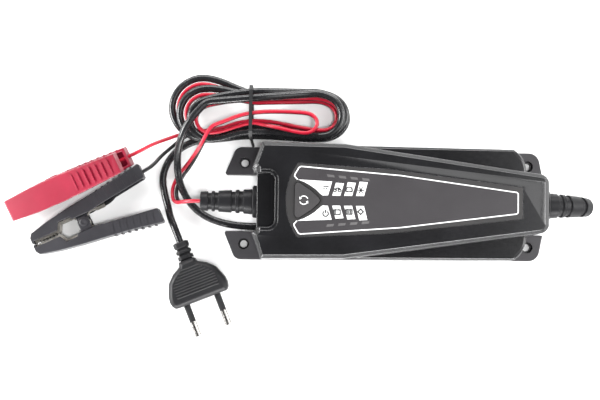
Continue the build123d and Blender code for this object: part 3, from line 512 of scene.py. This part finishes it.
FERRITE = surface("ferrite", (0.030, 0.030, 0.034), (0.048, 0.048, 0.052), (0.50, 0.66), 900, 0.14)
TAPE_YELLOW = surface("winding_tape", (0.50, 0.30, 0.03), (0.62, 0.40, 0.05), (0.36, 0.48), 500, 0.08)
CAN_BLUE = surface("can_sleeve", (0.015, 0.025, 0.075), (0.022, 0.036, 0.100), (0.26, 0.38), 500, 0.05)
ALUMINIUM = surface("aluminium", (0.60, 0.61, 0.62), (0.72, 0.73, 0.74), (0.32, 0.46), 900, 0.10, 1.0)
finish(FERRITE, "transformer_core", "input_choke")
finish(TAPE_YELLOW, "transformer_winding")
finish(CAN_BLUE, "mains_capacitor", "output_capacitors")
finish(ALUMINIUM, "heat_sink")
finish(CHIP_BLACK, "power_transistors", "mains_fuse", "relay")


# ---------------------------------------------------------------- strain reliefs
# Soft PVC sleeves moulded on the leads: a flange outside the wall, a groove that snaps into it, and stiff
# lengths over a thinner core that let the sleeve bend in small steps. The battery lead's one is
# straight, and the mains lead's one droops towards the floor.

# The case's end walls and the height of both sleeves' line, then the sleeves' own sizes from the wall.
CASE_LEFT, CASE_RIGHT, AXIS_Z = -73.0, 90.0, 21.0
TAIL_END, TAIL_R, GROOVE_R = -4.2, 6.5, 4.9
FLANGE, FLANGE_R = 2.7, 9.2
ROOT_R, TIP_R, CORE_R = 7.2, 5.4, 3.0
SLEEVE = 29.6
BEND_R, DROOP = 31.0, math.radians(50)


def solid(name, points, faces, material, flat):
    """A mesh object from points in millimetres, smooth except over edges sharper than flat degrees."""
    mesh = bpy.data.meshes.new(name)
    mesh.from_pydata([Vector(p) * MM for p in points], [], faces)
    tidy = bmesh.new()
    tidy.from_mesh(mesh)
    bmesh.ops.remove_doubles(tidy, verts=tidy.verts, dist=1e-6)
    bmesh.ops.recalc_face_normals(tidy, faces=tidy.faces)
    tidy.to_mesh(mesh)
    tidy.free()
    shade(mesh, flat)
    return link(bpy.data.objects.new(name, mesh), material)


def ring_loft(name, rings, material, flat):
    """A skin through rings of equal count, with its two ends closed."""
    count = len(rings[0])
    points = [p for ring in rings for p in ring]
    faces = []
    for n in range(len(rings) - 1):
        for k in range(count):
            a, b = n * count + k, n * count + (k + 1) % count
            faces.append((a, b, b + count, a + count))
    faces += [tuple(range(count)), tuple(range(len(points) - count, len(points)))]
    return solid(name, points, faces, material, flat)


def relief_profile(lengths, total):
    """Distances from the case wall and radii, from inside the case to the lead."""
    profile = [(TAIL_END, 0.0), (TAIL_END, TAIL_R), (-2.6, TAIL_R), (-2.5, GROOVE_R), (-0.05, GROOVE_R)]
    profile += [(0.0, FLANGE_R - 0.5), (0.4, FLANGE_R), (FLANGE - 0.6, FLANGE_R), (FLANGE, FLANGE_R - 0.6)]
    for start, end in lengths:
        for place, cut in ((start, 0.9), (start + 0.01, 0.3), (start + 0.35, 0), (end - 0.35, 0), (end, 0.3)):
            radius = ROOT_R + (TIP_R - ROOT_R) * place / total
            profile.append((FLANGE + place, radius - cut))
        radius = ROOT_R + (TIP_R - ROOT_R) * end / total
        profile.append((FLANGE + end + 0.01, radius - 0.95))
    return profile[:-1] + [(profile[-1][0], CORE_R), (profile[-1][0], 0.0)]


def turned(name, profile, line, material, sides=32):
    """A round piece: line gives the centre and the two cross directions at each distance."""
    rings = []
    for place, radius in profile:
        centre, across, upward = line(place)
        ring = []
        for n in range(sides):
            angle = 2 * math.pi * n / sides
            ring.append(centre + (across * math.cos(angle) + upward * math.sin(angle)) * max(radius, 0.02))
        rings.append(ring)
    return ring_loft(name, rings, material, flat=35)


def straight_line(place):
    """The battery lead's relief runs straight out of the case."""
    return Vector((CASE_LEFT - place, 0, AXIS_Z)), Vector((0, 1, 0)), Vector((0, 0, 1))


def drooping_line(place):
    """The mains lead's relief bends down past its flange."""
    angle = max(0.0, place - FLANGE) / BEND_R
    x = CASE_RIGHT + min(place, FLANGE) + BEND_R * math.sin(angle)
    centre = Vector((x, 0, AXIS_Z - BEND_R * (1 - math.cos(angle))))
    return centre, Vector((0, -1, 0)), Vector((math.sin(angle), 0, math.cos(angle)))


BENT = BEND_R * DROOP
# Where each stiff length starts and ends past the flange.
OUTPUT_LENGTHS = [(0, 5.2), (7.4, 9.6), (11.8, 19.4), (21.4, 23.2), (25.2, SLEEVE)]
MAINS_LENGTHS = [(0, 4.8), (6.8, 8.8), (11.2, 18.8), (21.0, BENT - 0.8)]
GLAND_BLACK = surface(
    "gland_black", (0.007, 0.007, 0.008), (0.012, 0.012, 0.013), (0.34, 0.46), 1000, 0.12,
    Specular_IOR_Level=0.16,
)
output_relief = turned("output_relief", relief_profile(OUTPUT_LENGTHS, SLEEVE), straight_line, GLAND_BLACK)
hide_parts("output_gland")
mains_relief = turned("mains_relief", relief_profile(MAINS_LENGTHS, BENT), drooping_line, GLAND_BLACK)
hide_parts("mains_gland")


# ---------------------------------------------------------------- plug
# A flat two-pin mains plug, moulded round its pins and the end of the lead in one shot of black PVC.
# Ten cross ribs on its upper face give the fingers a hold. The pins are nickel-plated brass that lean
# together slightly, and each has a moulded sleeve over its half next to the body.

PLUG_NECK_X, PLUG_NECK_Y, PLUG_YAW = -117.6, -23.2, -68.1
PLUG_AXIS_Z, PLUG_TOP = 6.85, 13.7


def plug_point(a, b, c):
    """A point of the plug: a from the neck towards the pins, b across, c up from the floor."""
    along, across = math.cos(math.radians(PLUG_YAW)), math.sin(math.radians(PLUG_YAW))
    return (PLUG_NECK_X + a * along - b * across, PLUG_NECK_Y + a * across + b * along, c)


def plug_matrix(a, b, c):
    """A frame on the plug, its X from the neck towards the pins."""
    return Matrix.Translation(plug_point(a, b, c)) @ Matrix.Rotation(math.radians(PLUG_YAW), 4, "Z")


def ridge_tree():
    """Bars in a row: each one steps on from the last and grows up to a largest size."""
    tree = bpy.data.node_groups.new("ridge_row", "GeometryNodeTree")
    sockets = [("Count", "Int"), ("Start", "Vector"), ("Step", "Vector"), ("Turn", "Vector")]
    sockets += [("Size", "Vector"), ("Growth", "Vector"), ("Largest", "Vector")]
    sockets += [("Both Sides", "Bool"), ("Material", "Material")]
    for socket, kind in sockets:
        tree.interface.new_socket(socket, in_out="INPUT", socket_type="NodeSocket" + kind)
    tree.interface.new_socket("Geometry", in_out="OUTPUT", socket_type="NodeSocketGeometry")
    nodes, links = tree.nodes, tree.links
    start, end = nodes.new("NodeGroupInput"), nodes.new("NodeGroupOutput")
    line, bar = nodes.new("GeometryNodeMeshLine"), nodes.new("GeometryNodeMeshCube")
    index, turn = nodes.new("GeometryNodeInputIndex"), nodes.new("FunctionNodeEulerToRotation")
    grow, cap = nodes.new("ShaderNodeVectorMath"), nodes.new("ShaderNodeVectorMath")
    grow.operation, cap.operation = "MULTIPLY_ADD", "MINIMUM"
    spread, real = nodes.new("GeometryNodeInstanceOnPoints"), nodes.new("GeometryNodeRealizeInstances")
    mirror, flip = nodes.new("GeometryNodeTransform"), nodes.new("GeometryNodeFlipFaces")
    mirror.inputs["Scale"].default_value = (1, 1, -1)
    pair, choose = nodes.new("GeometryNodeJoinGeometry"), nodes.new("GeometryNodeSwitch")
    choose.input_type = "GEOMETRY"
    paint = nodes.new("GeometryNodeSetMaterial")
    links.new(start.outputs["Count"], line.inputs["Count"])
    links.new(start.outputs["Start"], line.inputs["Start Location"])
    links.new(start.outputs["Step"], line.inputs["Offset"])
    links.new(index.outputs["Index"], grow.inputs[0])
    links.new(start.outputs["Growth"], grow.inputs[1])
    links.new(start.outputs["Size"], grow.inputs[2])
    links.new(grow.outputs["Vector"], cap.inputs[0])
    links.new(start.outputs["Largest"], cap.inputs[1])
    links.new(start.outputs["Turn"], turn.inputs["Euler"])
    links.new(line.outputs["Mesh"], spread.inputs["Points"])
    links.new(bar.outputs["Mesh"], spread.inputs["Instance"])
    links.new(turn.outputs["Rotation"], spread.inputs["Rotation"])
    links.new(cap.outputs["Vector"], spread.inputs["Scale"])
    links.new(spread.outputs["Instances"], real.inputs["Geometry"])
    links.new(real.outputs["Geometry"], mirror.inputs["Geometry"])
    links.new(mirror.outputs["Geometry"], flip.inputs["Mesh"])
    links.new(flip.outputs["Mesh"], pair.inputs["Geometry"])
    links.new(real.outputs["Geometry"], pair.inputs["Geometry"])
    links.new(start.outputs["Both Sides"], choose.inputs["Switch"])
    links.new(real.outputs["Geometry"], choose.inputs["False"])
    links.new(pair.outputs["Geometry"], choose.inputs["True"])
    links.new(choose.outputs["Output"], paint.inputs["Geometry"])
    links.new(start.outputs["Material"], paint.inputs["Material"])
    links.new(paint.outputs["Geometry"], end.inputs["Geometry"])
    return tree


RIDGES = ridge_tree()


def ridge_row(name, place, material, body=ROOT, **sizes):
    """A row of ridges, its sizes given in millimetres and its turn in degrees."""
    settings = {"Material": material, "Count": sizes["count"], "Both Sides": sizes.get("both_sides", False)}
    settings["Turn"] = tuple(math.radians(angle) for angle in sizes["turn"])
    for size in ("start", "step", "size", "growth", "largest"):
        settings[size.title()] = tuple(length * MM for length in sizes[size])
    return grown(name, RIDGES, settings, bpy.data.meshes.new(name + "_seed"), place, body)


PLUG_BLACK = surface(
    "plug_black", (0.007, 0.007, 0.008), (0.012, 0.012, 0.013), (0.38, 0.50), 1100, 0.10,
    Specular_IOR_Level=0.26,
)
NICKEL = surface("pin_nickel", (0.30, 0.29, 0.28), (0.40, 0.39, 0.37), (0.20, 0.30), 900, 0.06, 1.0)
RIBS_FROM_NECK, RIB_PITCH, RIB_SIDE = 15.8, 1.6, 0.66
RIB_FIRST, RIB_GROWTH, RIB_LONGEST = 11.2, 3.04, 25.2
plug_body = dressed("plug_body", PLUG_BLACK, (0.9, 0.25))
ridge_row(
    "plug_ribs", plug_matrix(RIBS_FROM_NECK, 0, PLUG_TOP), PLUG_BLACK,
    count=10, start=(0, 0, 0), step=(RIB_PITCH, 0, 0), turn=(0, 45, 0),
    size=(RIB_SIDE, RIB_FIRST, RIB_SIDE), growth=(0, RIB_GROWTH, 0), largest=(1, RIB_LONGEST, 1),
)
finish(NICKEL, "plug_pins")
finish(PLUG_BLACK, "plug_pin_sleeves")


# ---------------------------------------------------------------- clamp grips
# Two channel-shaped grips for each clamp, moulded in nylon, red for positive and black for negative.
# Seven slim ridges on each side keep the fingers from slipping, and a low cap covers each free end of
# the hinge pin.

# In a clamp's own frame P runs from the nose to the grips, Q towards the fixed arm and W along the pin.
# WAIST and REAR are a grip's half-widths at its two ends; it starts behind the pin.
WAIST, REAR, GRIP_START, GRIP_LENGTH = 7.5, 5.7, 6.0, 37
RIDGE_P, RIDGE_Q, RIDGE_PITCH, RIDGE_RISE, RIDGE_TURN = 13.5, 9.81, 3.9, 0.554, 9.8
RIDGE_SIZE, RIDGE_GROWTH, RIDGE_LARGEST = (1.3, 6.2, 0.56), (0, 0.06, 0), (2, 9, 1)


def clamp_frame(pivot, yaw, pitch=0.0, lean=0.0, upright=False):
    """The clamp's three directions and pivot as a matrix in millimetres."""
    yaw, pitch, lean = (math.radians(angle) for angle in (yaw, pitch, lean))
    along = Vector((math.cos(pitch) * math.cos(yaw), math.cos(pitch) * math.sin(yaw), math.sin(pitch)))
    side = Vector((-math.sin(yaw), math.cos(yaw), 0))
    above = along.cross(side)
    pin = side * math.cos(lean) + above * math.sin(lean) if upright else above
    across = pin.cross(along)
    turn = Matrix((along, across, pin)).transposed().to_4x4()
    return Matrix.Translation(pivot) @ turn


def grip_ridges(name, clamp, side, material, body):
    """Ridges on both sides of a grip: side is 1 on the fixed arm and -1 on the lever."""
    narrowing = (REAR - WAIST) / GRIP_LENGTH
    return ridge_row(
        name, clamp, material, body, both_sides=True,
        count=7, start=(RIDGE_P, side * RIDGE_Q, WAIST + (RIDGE_P - GRIP_START) * narrowing),
        turn=(0, 0, side * RIDGE_TURN), step=(RIDGE_PITCH, side * RIDGE_RISE, RIDGE_PITCH * narrowing),
        size=RIDGE_SIZE, growth=RIDGE_GROWTH, largest=RIDGE_LARGEST,
    )


def rivet_boss(name, clamp, end, material):
    """A shallow dome over one end of the hinge pin."""
    profile = [(7.28, 0.0), (7.28, 1.4), (7.42, 1.4), (7.43, 2.4), (7.72, 2.4)]
    profile += [(7.98, 1.9), (8.06, 1.2), (7.9, 0.9), (7.9, 0.0)]

    def line(place):
        across = clamp.to_3x3()
        return clamp @ Vector((0, 0, end * place)), across @ Vector((1, 0, 0)), across @ Vector((0, end, 0))

    return turned(name, profile, line, material, sides=24)


BLACK = clamp_frame((-172.5, -12.8, 7.5), 25.0)
RED = clamp_frame((-187.3, 6.5, 13.209), 24.0, 10.0, 9.0, upright=True)
CLAMP_RED = surface(
    "clamp_red", (0.150, 0.0034, 0.015), (0.190, 0.0056, 0.021), (0.34, 0.46), 1200, 0.10,
    Specular_IOR_Level=0.4,
)
CLAMP_BLACK = surface(
    "clamp_black", (0.015, 0.0145, 0.017), (0.024, 0.0235, 0.027), (0.38, 0.50), 1200, 0.10,
    Specular_IOR_Level=0.32,
)
ARMS = {}
for colour, clamp, material in (("red", RED, CLAMP_RED), ("black", BLACK, CLAMP_BLACK)):
    lever = f"{colour}_clamp_lever"
    fixed_arm = dressed(f"{colour}_clamp_fixed_arm", material, (0.5,), ROOT)
    moving_arm = dressed(f"{colour}_clamp_moving_arm", material, (0.5,), lever)
    ARMS[colour] = [fixed_arm, moving_arm]
    grip_ridges(f"{colour}_fixed_ridges", clamp, 1, material, ROOT)
    grip_ridges(f"{colour}_moving_ridges", clamp, -1, material, lever)
rivet_boss("red_rivet_far", RED, 1, CLAMP_RED)
rivet_boss("red_rivet_near", RED, -1, CLAMP_RED)
rivet_boss("black_rivet", BLACK, 1, CLAMP_BLACK)


# ---------------------------------------------------------------- clamp metalwork
# Toothed jaws stamped from plated steel sheet sit in the grips, which turn on a plain steel pin.
# A wire torsion spring round the pin closes the jaws, and a crimp on one jaw's tail takes the wire.

for colour in ARMS:
    for piece in ("fixed_jaw", "moving_jaw", "wire_crimp", "hinge_pin", "torsion_spring"):
        finish(STEEL, f"{colour}_clamp_{piece}")


# ---------------------------------------------------------------- mains lead
# A round two-core lead in glossy black PVC. It folds back under the case from its relief, runs along the
# floor, goes round the hank three and a half times and ends in the plug. Its points are those of the
# CAD lead, with the tight turn under the relief eased.

MAINS_R = 2.1
# The hank: a waist that the tie closes, round ends given by their tip, middle and half-height, and
# one layer for each turn. WAIST_UP and WAIST_DOWN are each turn's far and near sides at the waist.
# The battery lead's first round end is shorter than the others.
WAIST_X, WAIST_Y = -77.5, 51.6
LAYER, HANK_FLOOR = 4.85, 0.8
RIGHT_LOBES = [(-24.5, 50.2, 13.0), (-21.6, 50.9, 13.6), (-23.6, 50.3, 13.2), (-20.9, 50.6, 13.4)]
LEFT_LOBES = [(-113.5, 47.2, 12.8), (-120.0, 51.0, 16.0), (-125.2, 54.9, 19.4)]
RIGHT_CENTRE_X = -38.0
PAIR_FIRST_LOBE, PAIR_FIRST_CENTRE_X = (-39.0, 45.2, 6.3), -47.0
WAIST_UP = [7.5, 12.0, 9.6, 11.0]
WAIST_DOWN = [9.5, 6.0, 11.6, 8.4]
# How far along the run from the waist to a lobe a lead starts and ends its step down a layer.
STEP_SHARES, PAIR_FIRST_SHARES = (0.24, 0.78), (0.5, 0.8)


def lobe(shape, centre_x, inset, side):
    """Five points round one end of a loop, from its upper shoulder to its lower one."""
    tip, middle, half = shape
    half -= inset
    reach = abs(tip - centre_x) - inset
    points = []
    for n in range(5):
        angle = math.radians(90 - 45 * n)
        points.append((centre_x + side * reach * math.cos(angle), middle + half * math.sin(angle)))
    return points


def step_down(start, end, top, foot, shares=STEP_SHARES):
    """Two points on the straight run between two plan points, where the lead goes down a layer."""
    run = []
    for share, z in zip(shares, (top, foot)):
        x, y = (a + (b - a) * share for a, b in zip(start, end))
        run.append((x, y, z))
    return run


def straight_on(point, other, distance):
    """The point a distance past a route's end, straight on from its neighbour."""
    return tuple(Vector(point) + (Vector(point) - Vector(other)).normalized() * distance)


def hank_points(inset, height, entry, leave):
    """One lead's way round the hank, in flat clockwise turns with a step down between them."""
    turns = len(RIGHT_LOBES)
    points = [(*entry, height + LAYER * turns)]
    for n in range(turns):
        upper = height + LAYER * (turns - n)
        level = upper - LAYER
        below = (WAIST_X, WAIST_Y - WAIST_DOWN[n] + inset)
        if inset > 0 and n == 0:
            right = lobe(PAIR_FIRST_LOBE, PAIR_FIRST_CENTRE_X, 0, 1)
            points += [(WAIST_X, WAIST_Y, upper)] + [(x, y, upper) for x, y in right]
            points += step_down(right[-1], below, upper, level, PAIR_FIRST_SHARES)
        else:
            waist = (WAIST_X, WAIST_Y + WAIST_UP[n] - inset)
            right = lobe(RIGHT_LOBES[n], RIGHT_CENTRE_X, inset, 1)
            points += [(*waist, upper)] + step_down(waist, right[0], upper, level)
            points += [(x, y, level) for x, y in right]
        points.append((*below, level))
        if n < turns - 1:
            tip, middle, half = LEFT_LOBES[n]
            left = lobe(LEFT_LOBES[n], tip + half * 1.1, inset, -1)
            points += [(x, y, level) for x, y in reversed(left)]
    return points + [(*leave, height)]


def lead(name, points, radius, material, **facts):
    """A free lead: one smooth spline with the route's points as its control points."""
    curve = bpy.data.curves.new(name, "CURVE")
    curve.dimensions = "3D"
    spline = curve.splines.new("NURBS")
    spline.points.add(len(points) - 1)
    for spot, point in zip(spline.points, points):
        spot.co = (*(Vector(point) * MM), 1)
    spline.order_u = 3
    spline.use_endpoint_u = True
    spline.resolution_u = 8
    curve.bevel_depth = radius * MM
    curve.bevel_resolution = 5
    curve.use_fill_caps = True
    obj = link(bpy.data.objects.new(name, curve), material)
    facts["exit"] = tuple(Vector(points[0]) * MM)
    return obj


def sleeve_tip():
    """Where the mains lead leaves its drooping strain relief."""
    return (CASE_RIGHT + FLANGE + BEND_R * math.sin(DROOP), 0, AXIS_Z - BEND_R * (1 - math.cos(DROOP)))


def mains_route():
    """The mains lead: under the case, along the floor to the hank, and from the hank to the plug."""
    x, _, z = sleeve_tip()
    hank = hank_points(0, HANK_FLOOR + MAINS_R, (-97.5, 57.2), (-107.0, 36.4))
    start = [
        (x, 0, z),
        (x + 1.3, 0, z - 1.5),
        (x + 1.1, 0, z - 5.2),
        (x - 1.7, 0, MAINS_R),
        (x - 5.8, -0.2, MAINS_R),
        (92.0, -0.4, MAINS_R),
        (62.0, 1.8, MAINS_R),
        (22.0, 0.6, MAINS_R),
        (-20.0, -6.2, MAINS_R),
        (-52.0, -12.4, MAINS_R),
        (-74.0, -13.6, MAINS_R),
        (-90.0, -12.6, MAINS_R),
        (-101.5, -9.2, MAINS_R),
        (-110.3, -3.2, MAINS_R + 0.6),
        (-116.0, 4.6, 4.6),
        (-119.0, 13.0, 8.6),
        (-119.9, 21.5, 10.4),
        (-119.2, 30.0, 15.4),
        (-116.4, 38.5, 20.8),
        (-111.8, 46.6, 22.6),
        (-106.2, 53.2, 22.6),
        straight_on(hank[0], hank[1], 5),
    ]
    end = [
        straight_on(hank[-1], hank[-2], 6),
        (-120.6, 30.6, MAINS_R),
        (-126.4, 23.4, MAINS_R),
        (-129.2, 14.6, MAINS_R),
        (-127.8, 5.6, MAINS_R),
        (-125.4, -2.8, MAINS_R),
        (-123.6, -9.4, 4.6),
        plug_point(-8, 0, PLUG_AXIS_Z),
        plug_point(0, 0, PLUG_AXIS_Z),
    ]
    return start + hank + end


SHEATH_BLACK = surface("sheath_black", (0.007, 0.007, 0.008), (0.012, 0.012, 0.013), (0.20, 0.30), 700, 0.05)
mains_facts = {"length": 1.22, "far_end": "plug", "stiffness": "medium", "lay": "coiled"}
mains_facts["with_pieces"] = [plug_body, "plug_pins", "plug_pin_sleeves"]
mains = lead("mains_lead", mains_route(), MAINS_R, SHEATH_BLACK, **mains_facts)
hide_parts("mains_lead_start", "mains_lead_hank", "mains_lead_end")


# ---------------------------------------------------------------- battery lead
# Two thin stranded wires in matt PVC, red and black, crimped to their clamps. They lie side by side from
# the relief and round the hank inside the mains lead, then part. Their points are those of the CAD
# wires, with one tight turn eased.

# PAIR is half the distance between the wires, and INNER how far inside the mains lead they lie.
WIRE_R, PAIR, INNER = 1.05, 1.2, 3.9
OUTPUT_TIP_X = CASE_LEFT - FLANGE - SLEEVE
# In a clamp's own frame: Q of the wire inside the grip, and Q and W of the jaw's tail at the crimp.
WIRE_Q, TAIL_Q, TAIL_W = 13.4, 5.4, -0.9
# The free wires' points between the hank and the grips.
LOOSE_BLACK = [(-119.2, 36.6, 1.6), (-125.0, 31.6, 1.4), (-130.2, 26.6, 3.4)]
LOOSE_RED = [(-119.6, 39.4, 4.4), (-126.6, 36.6, 5.6), (-134.0, 33.4, 9.4)]


def wire_inside(clamp):
    """The wire's control points from behind the grip to the crimp."""
    local = [(49.0, WIRE_Q + 0.9, 0), (41.5, WIRE_Q, 0), (30.0, 11.3, TAIL_W / 2), (22.0, 7.8, TAIL_W)]
    local += [(18.0, TAIL_Q, TAIL_W), (14.5, TAIL_Q, TAIL_W)]
    return [tuple(clamp @ Vector(point)) for point in local]


def pair_route(sign, loose, inside):
    """One battery wire from the gland round the hank to its clamp; sign is 1 for the positive wire."""
    hank = hank_points(INNER, HANK_FLOOR + 2 * WIRE_R + 0.15, (-95.0, 44.6), (-109.0, 41.2))
    start = [
        ((OUTPUT_TIP_X, 0, AXIS_Z), (0, 0, 1)),
        ((OUTPUT_TIP_X - 4.0, 0, AXIS_Z), (-0.2, 0, 0.98)),
        ((OUTPUT_TIP_X - 9.6, -0.4, 17.6), (-0.6, 0, 0.8)),
        ((OUTPUT_TIP_X - 13.8, -0.4, 10.8), (-0.85, -0.2, 0.5)),
        ((OUTPUT_TIP_X - 16.2, 2.2, 4.8), (-0.97, -0.2, 0.1)),
        ((OUTPUT_TIP_X - 16.6, 8.6, 2.6), (-1, 0.1, 0)),
        ((OUTPUT_TIP_X - 13.4, 15.4, 2.6), (-0.85, 0.5, 0.1)),
        ((OUTPUT_TIP_X - 8.4, 21.0, 6.6), (-0.7, 0.4, 0.5)),
        ((OUTPUT_TIP_X - 4.2, 26.0, 14.6), (-0.7, -0.1, 0.6)),
        ((OUTPUT_TIP_X - 0.4, 31.2, 21.4), (-0.3, -0.2, 0.9)),
        (straight_on(hank[0], hank[1], 6), (0, 0, 1)),
    ]
    points = [tuple(Vector(point) + Vector(side) * PAIR * sign) for point, side in start]
    points += [(x, y, z + PAIR * sign) for x, y, z in hank]
    last = Vector(straight_on(hank[-1], hank[-2], 4)) + Vector((0, 0, PAIR * sign))
    return points + [tuple(last)] + loose + inside


def clamp_pieces(colour):
    """The pieces of one clamp, drawn ones and CAD nodes."""
    names = ("fixed_jaw", "moving_jaw", "wire_crimp", "hinge_pin", "torsion_spring")
    return ARMS[colour] + [f"{colour}_clamp_{name}" for name in names]


WIRE_RED = surface("wire_red", (0.30, 0.005, 0.018), (0.38, 0.008, 0.026), (0.30, 0.42), 700, 0.08)
WIRE_BLACK = surface(
    "wire_black", (0.010, 0.010, 0.011), (0.018, 0.018, 0.019), (0.30, 0.42), 700, 0.08,
    Specular_IOR_Level=0.32,
)
positive_facts = {"length": 0.89, "far_end": "fitting", "stiffness": "limp", "lay": "coiled"}
positive_facts["with_pieces"] = clamp_pieces("red")
positive_route = pair_route(1, LOOSE_RED, wire_inside(RED))
positive = lead("positive_lead", positive_route, WIRE_R, WIRE_RED, **positive_facts)
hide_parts("positive_lead_start", "positive_lead_end", "battery_lead_hank")
negative_facts = {"length": 0.882, "far_end": "fitting", "stiffness": "limp", "lay": "coiled"}
negative_facts["with_pieces"] = clamp_pieces("black")
negative_route = pair_route(-1, LOOSE_BLACK, wire_inside(BLACK))
negative = lead("negative_lead", negative_route, WIRE_R, WIRE_BLACK, **negative_facts)
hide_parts("negative_lead_start", "negative_lead_end")


# ---------------------------------------------------------------- cable tie
# A thin strap of wire in black plastic goes round the waist of the hank.
# Its ends are twisted together by hand once both leads are wound.

TIE_BLACK = surface(
    "tie_black", (0.012, 0.012, 0.013), (0.020, 0.020, 0.021), (0.34, 0.46), 900, 0.08,
    Specular_IOR_Level=0.32,
)
finish(TIE_BLACK, "cable_tie")


# ---------------------------------------------------------------- floor
# A wide sheet of matt white board, which isn't part of the charger.
# It lies a hair below the plane that the case rests on, so that their faces never coincide.

FLOOR_HALF, FLOOR_DROP = 3.0, 0.0002
FLOOR_WHITE = surface("floor_white", (0.83, 0.83, 0.83), (0.86, 0.86, 0.86), (0.60, 0.72), 300, 0.02)
floor_mesh = bpy.data.meshes.new("floor")
corners = [(x * FLOOR_HALF, y * FLOOR_HALF, 0) for x, y in ((-1, -1), (1, -1), (1, 1), (-1, 1))]
floor_mesh.from_pydata(corners, [], [(0, 1, 2, 3)])
floor = bpy.data.objects.new("floor", floor_mesh)
bpy.context.scene.collection.objects.link(floor)
floor.data.materials.append(FLOOR_WHITE)
floor.location.z = -FLOOR_DROP


# ---------------------------------------------------------------- light
# Low strips of soft light at the back, the front and both ends draw the edges of the black case.
# A high panel lights the right-hand side, and a weak sun that shows in no gloss gives the short shadows.
# Spots and sizes here are in metres.


def area_light(name, spot, aim, size, power):
    """A soft rectangular light that faces a point."""
    light = bpy.data.lights.new(name, "AREA")
    light.shape = "RECTANGLE"
    light.size, light.size_y = size
    light.energy = power
    obj = bpy.data.objects.new(name, light)
    obj.location = spot
    obj.rotation_euler = (Vector(aim) - Vector(spot)).to_track_quat("-Z", "Y").to_euler()
    bpy.context.scene.collection.objects.link(obj)


def studio_world():
    """White surroundings that darken straight overhead, so that flat black tops stay black."""
    world = bpy.data.worlds.new("studio")
    world.use_nodes = True
    nodes, links = world.node_tree.nodes, world.node_tree.links
    place = nodes.new("ShaderNodeTexCoord")
    split = nodes.new("ShaderNodeSeparateXYZ")
    fade = nodes.new("ShaderNodeValToRGB")
    stops = fade.color_ramp.elements
    stops[0].position, stops[0].color = 0.0, (1.0, 1.0, 1.0, 1)
    stops[1].position, stops[1].color = 0.97, (0.0125, 0.0125, 0.0125, 1)
    for position, level in ((0.45, 0.60), (0.80, 0.125)):
        stop = stops.new(position)
        stop.color = (level, level, level, 1)
    links.new(place.outputs["Generated"], split.inputs["Vector"])
    links.new(split.outputs["Z"], fade.inputs["Fac"])
    links.new(fade.outputs["Color"], nodes["Background"].inputs["Color"])
    nodes["Background"].inputs["Strength"].default_value = 0.95
    return world


SUN_POWER, SUN_SPREAD = 1.8, 8
bpy.context.scene.world = studio_world()
area_light("back", (-0.05, 0.85, 0.42), (-0.05, 0.03, 0.02), (1.3, 0.25), 12)
area_light("front", (-0.05, -0.85, 0.28), (-0.05, 0, 0.02), (1.3, 0.22), 22)
area_light("left", (-0.95, 0.05, 0.40), (-0.05, 0, 0.02), (0.7, 0.25), 20)
area_light("right", (0.85, 0.10, 0.45), (0.0, 0, 0.02), (0.7, 0.3), 9)
area_light("ceiling", (0.95, 0, 1.5), (0.95, 0, 0), (1.2, 1.2), 14)
sun_data = bpy.data.lights.new("overhead", "SUN")
sun_data.energy = SUN_POWER
sun_data.angle = math.radians(SUN_SPREAD)
sun = bpy.data.objects.new("overhead", sun_data)
sun.rotation_euler = Vector((0.10, -0.14, 1)).to_track_quat("Z", "Y").to_euler()
sun.visible_glossy = False
bpy.context.scene.collection.objects.link(sun)


# ---------------------------------------------------------------- camera
# A long lens looks down from nearly overhead, tilted a little and turned slightly about its own axis.
# The picture keeps plain display values, with no film curve.

CENTRE = Vector((-48.7, 2.45, 3.0)) * MM
DISTANCE, TILT, ROLL = 0.850, math.radians(86.5), math.radians(0.83)
camera_data = bpy.data.cameras.new("camera")
camera_data.lens = 87.7
camera_data.sensor_width = 36.0
camera_data.clip_start = 0.01
camera = bpy.data.objects.new("camera", camera_data)
away = Vector((0, -math.cos(TILT), math.sin(TILT)))
right = Vector((1, 0, 0))
up = away.cross(right)
rolled_right = right * math.cos(ROLL) + up * math.sin(ROLL)
rolled_up = away.cross(rolled_right)
basis = Matrix((rolled_right, rolled_up, away)).transposed().to_4x4()
camera.matrix_world = Matrix.Translation(CENTRE + away * DISTANCE) @ basis
bpy.context.scene.collection.objects.link(camera)
bpy.context.scene.camera = camera
bpy.context.scene.view_settings.view_transform = "Standard"
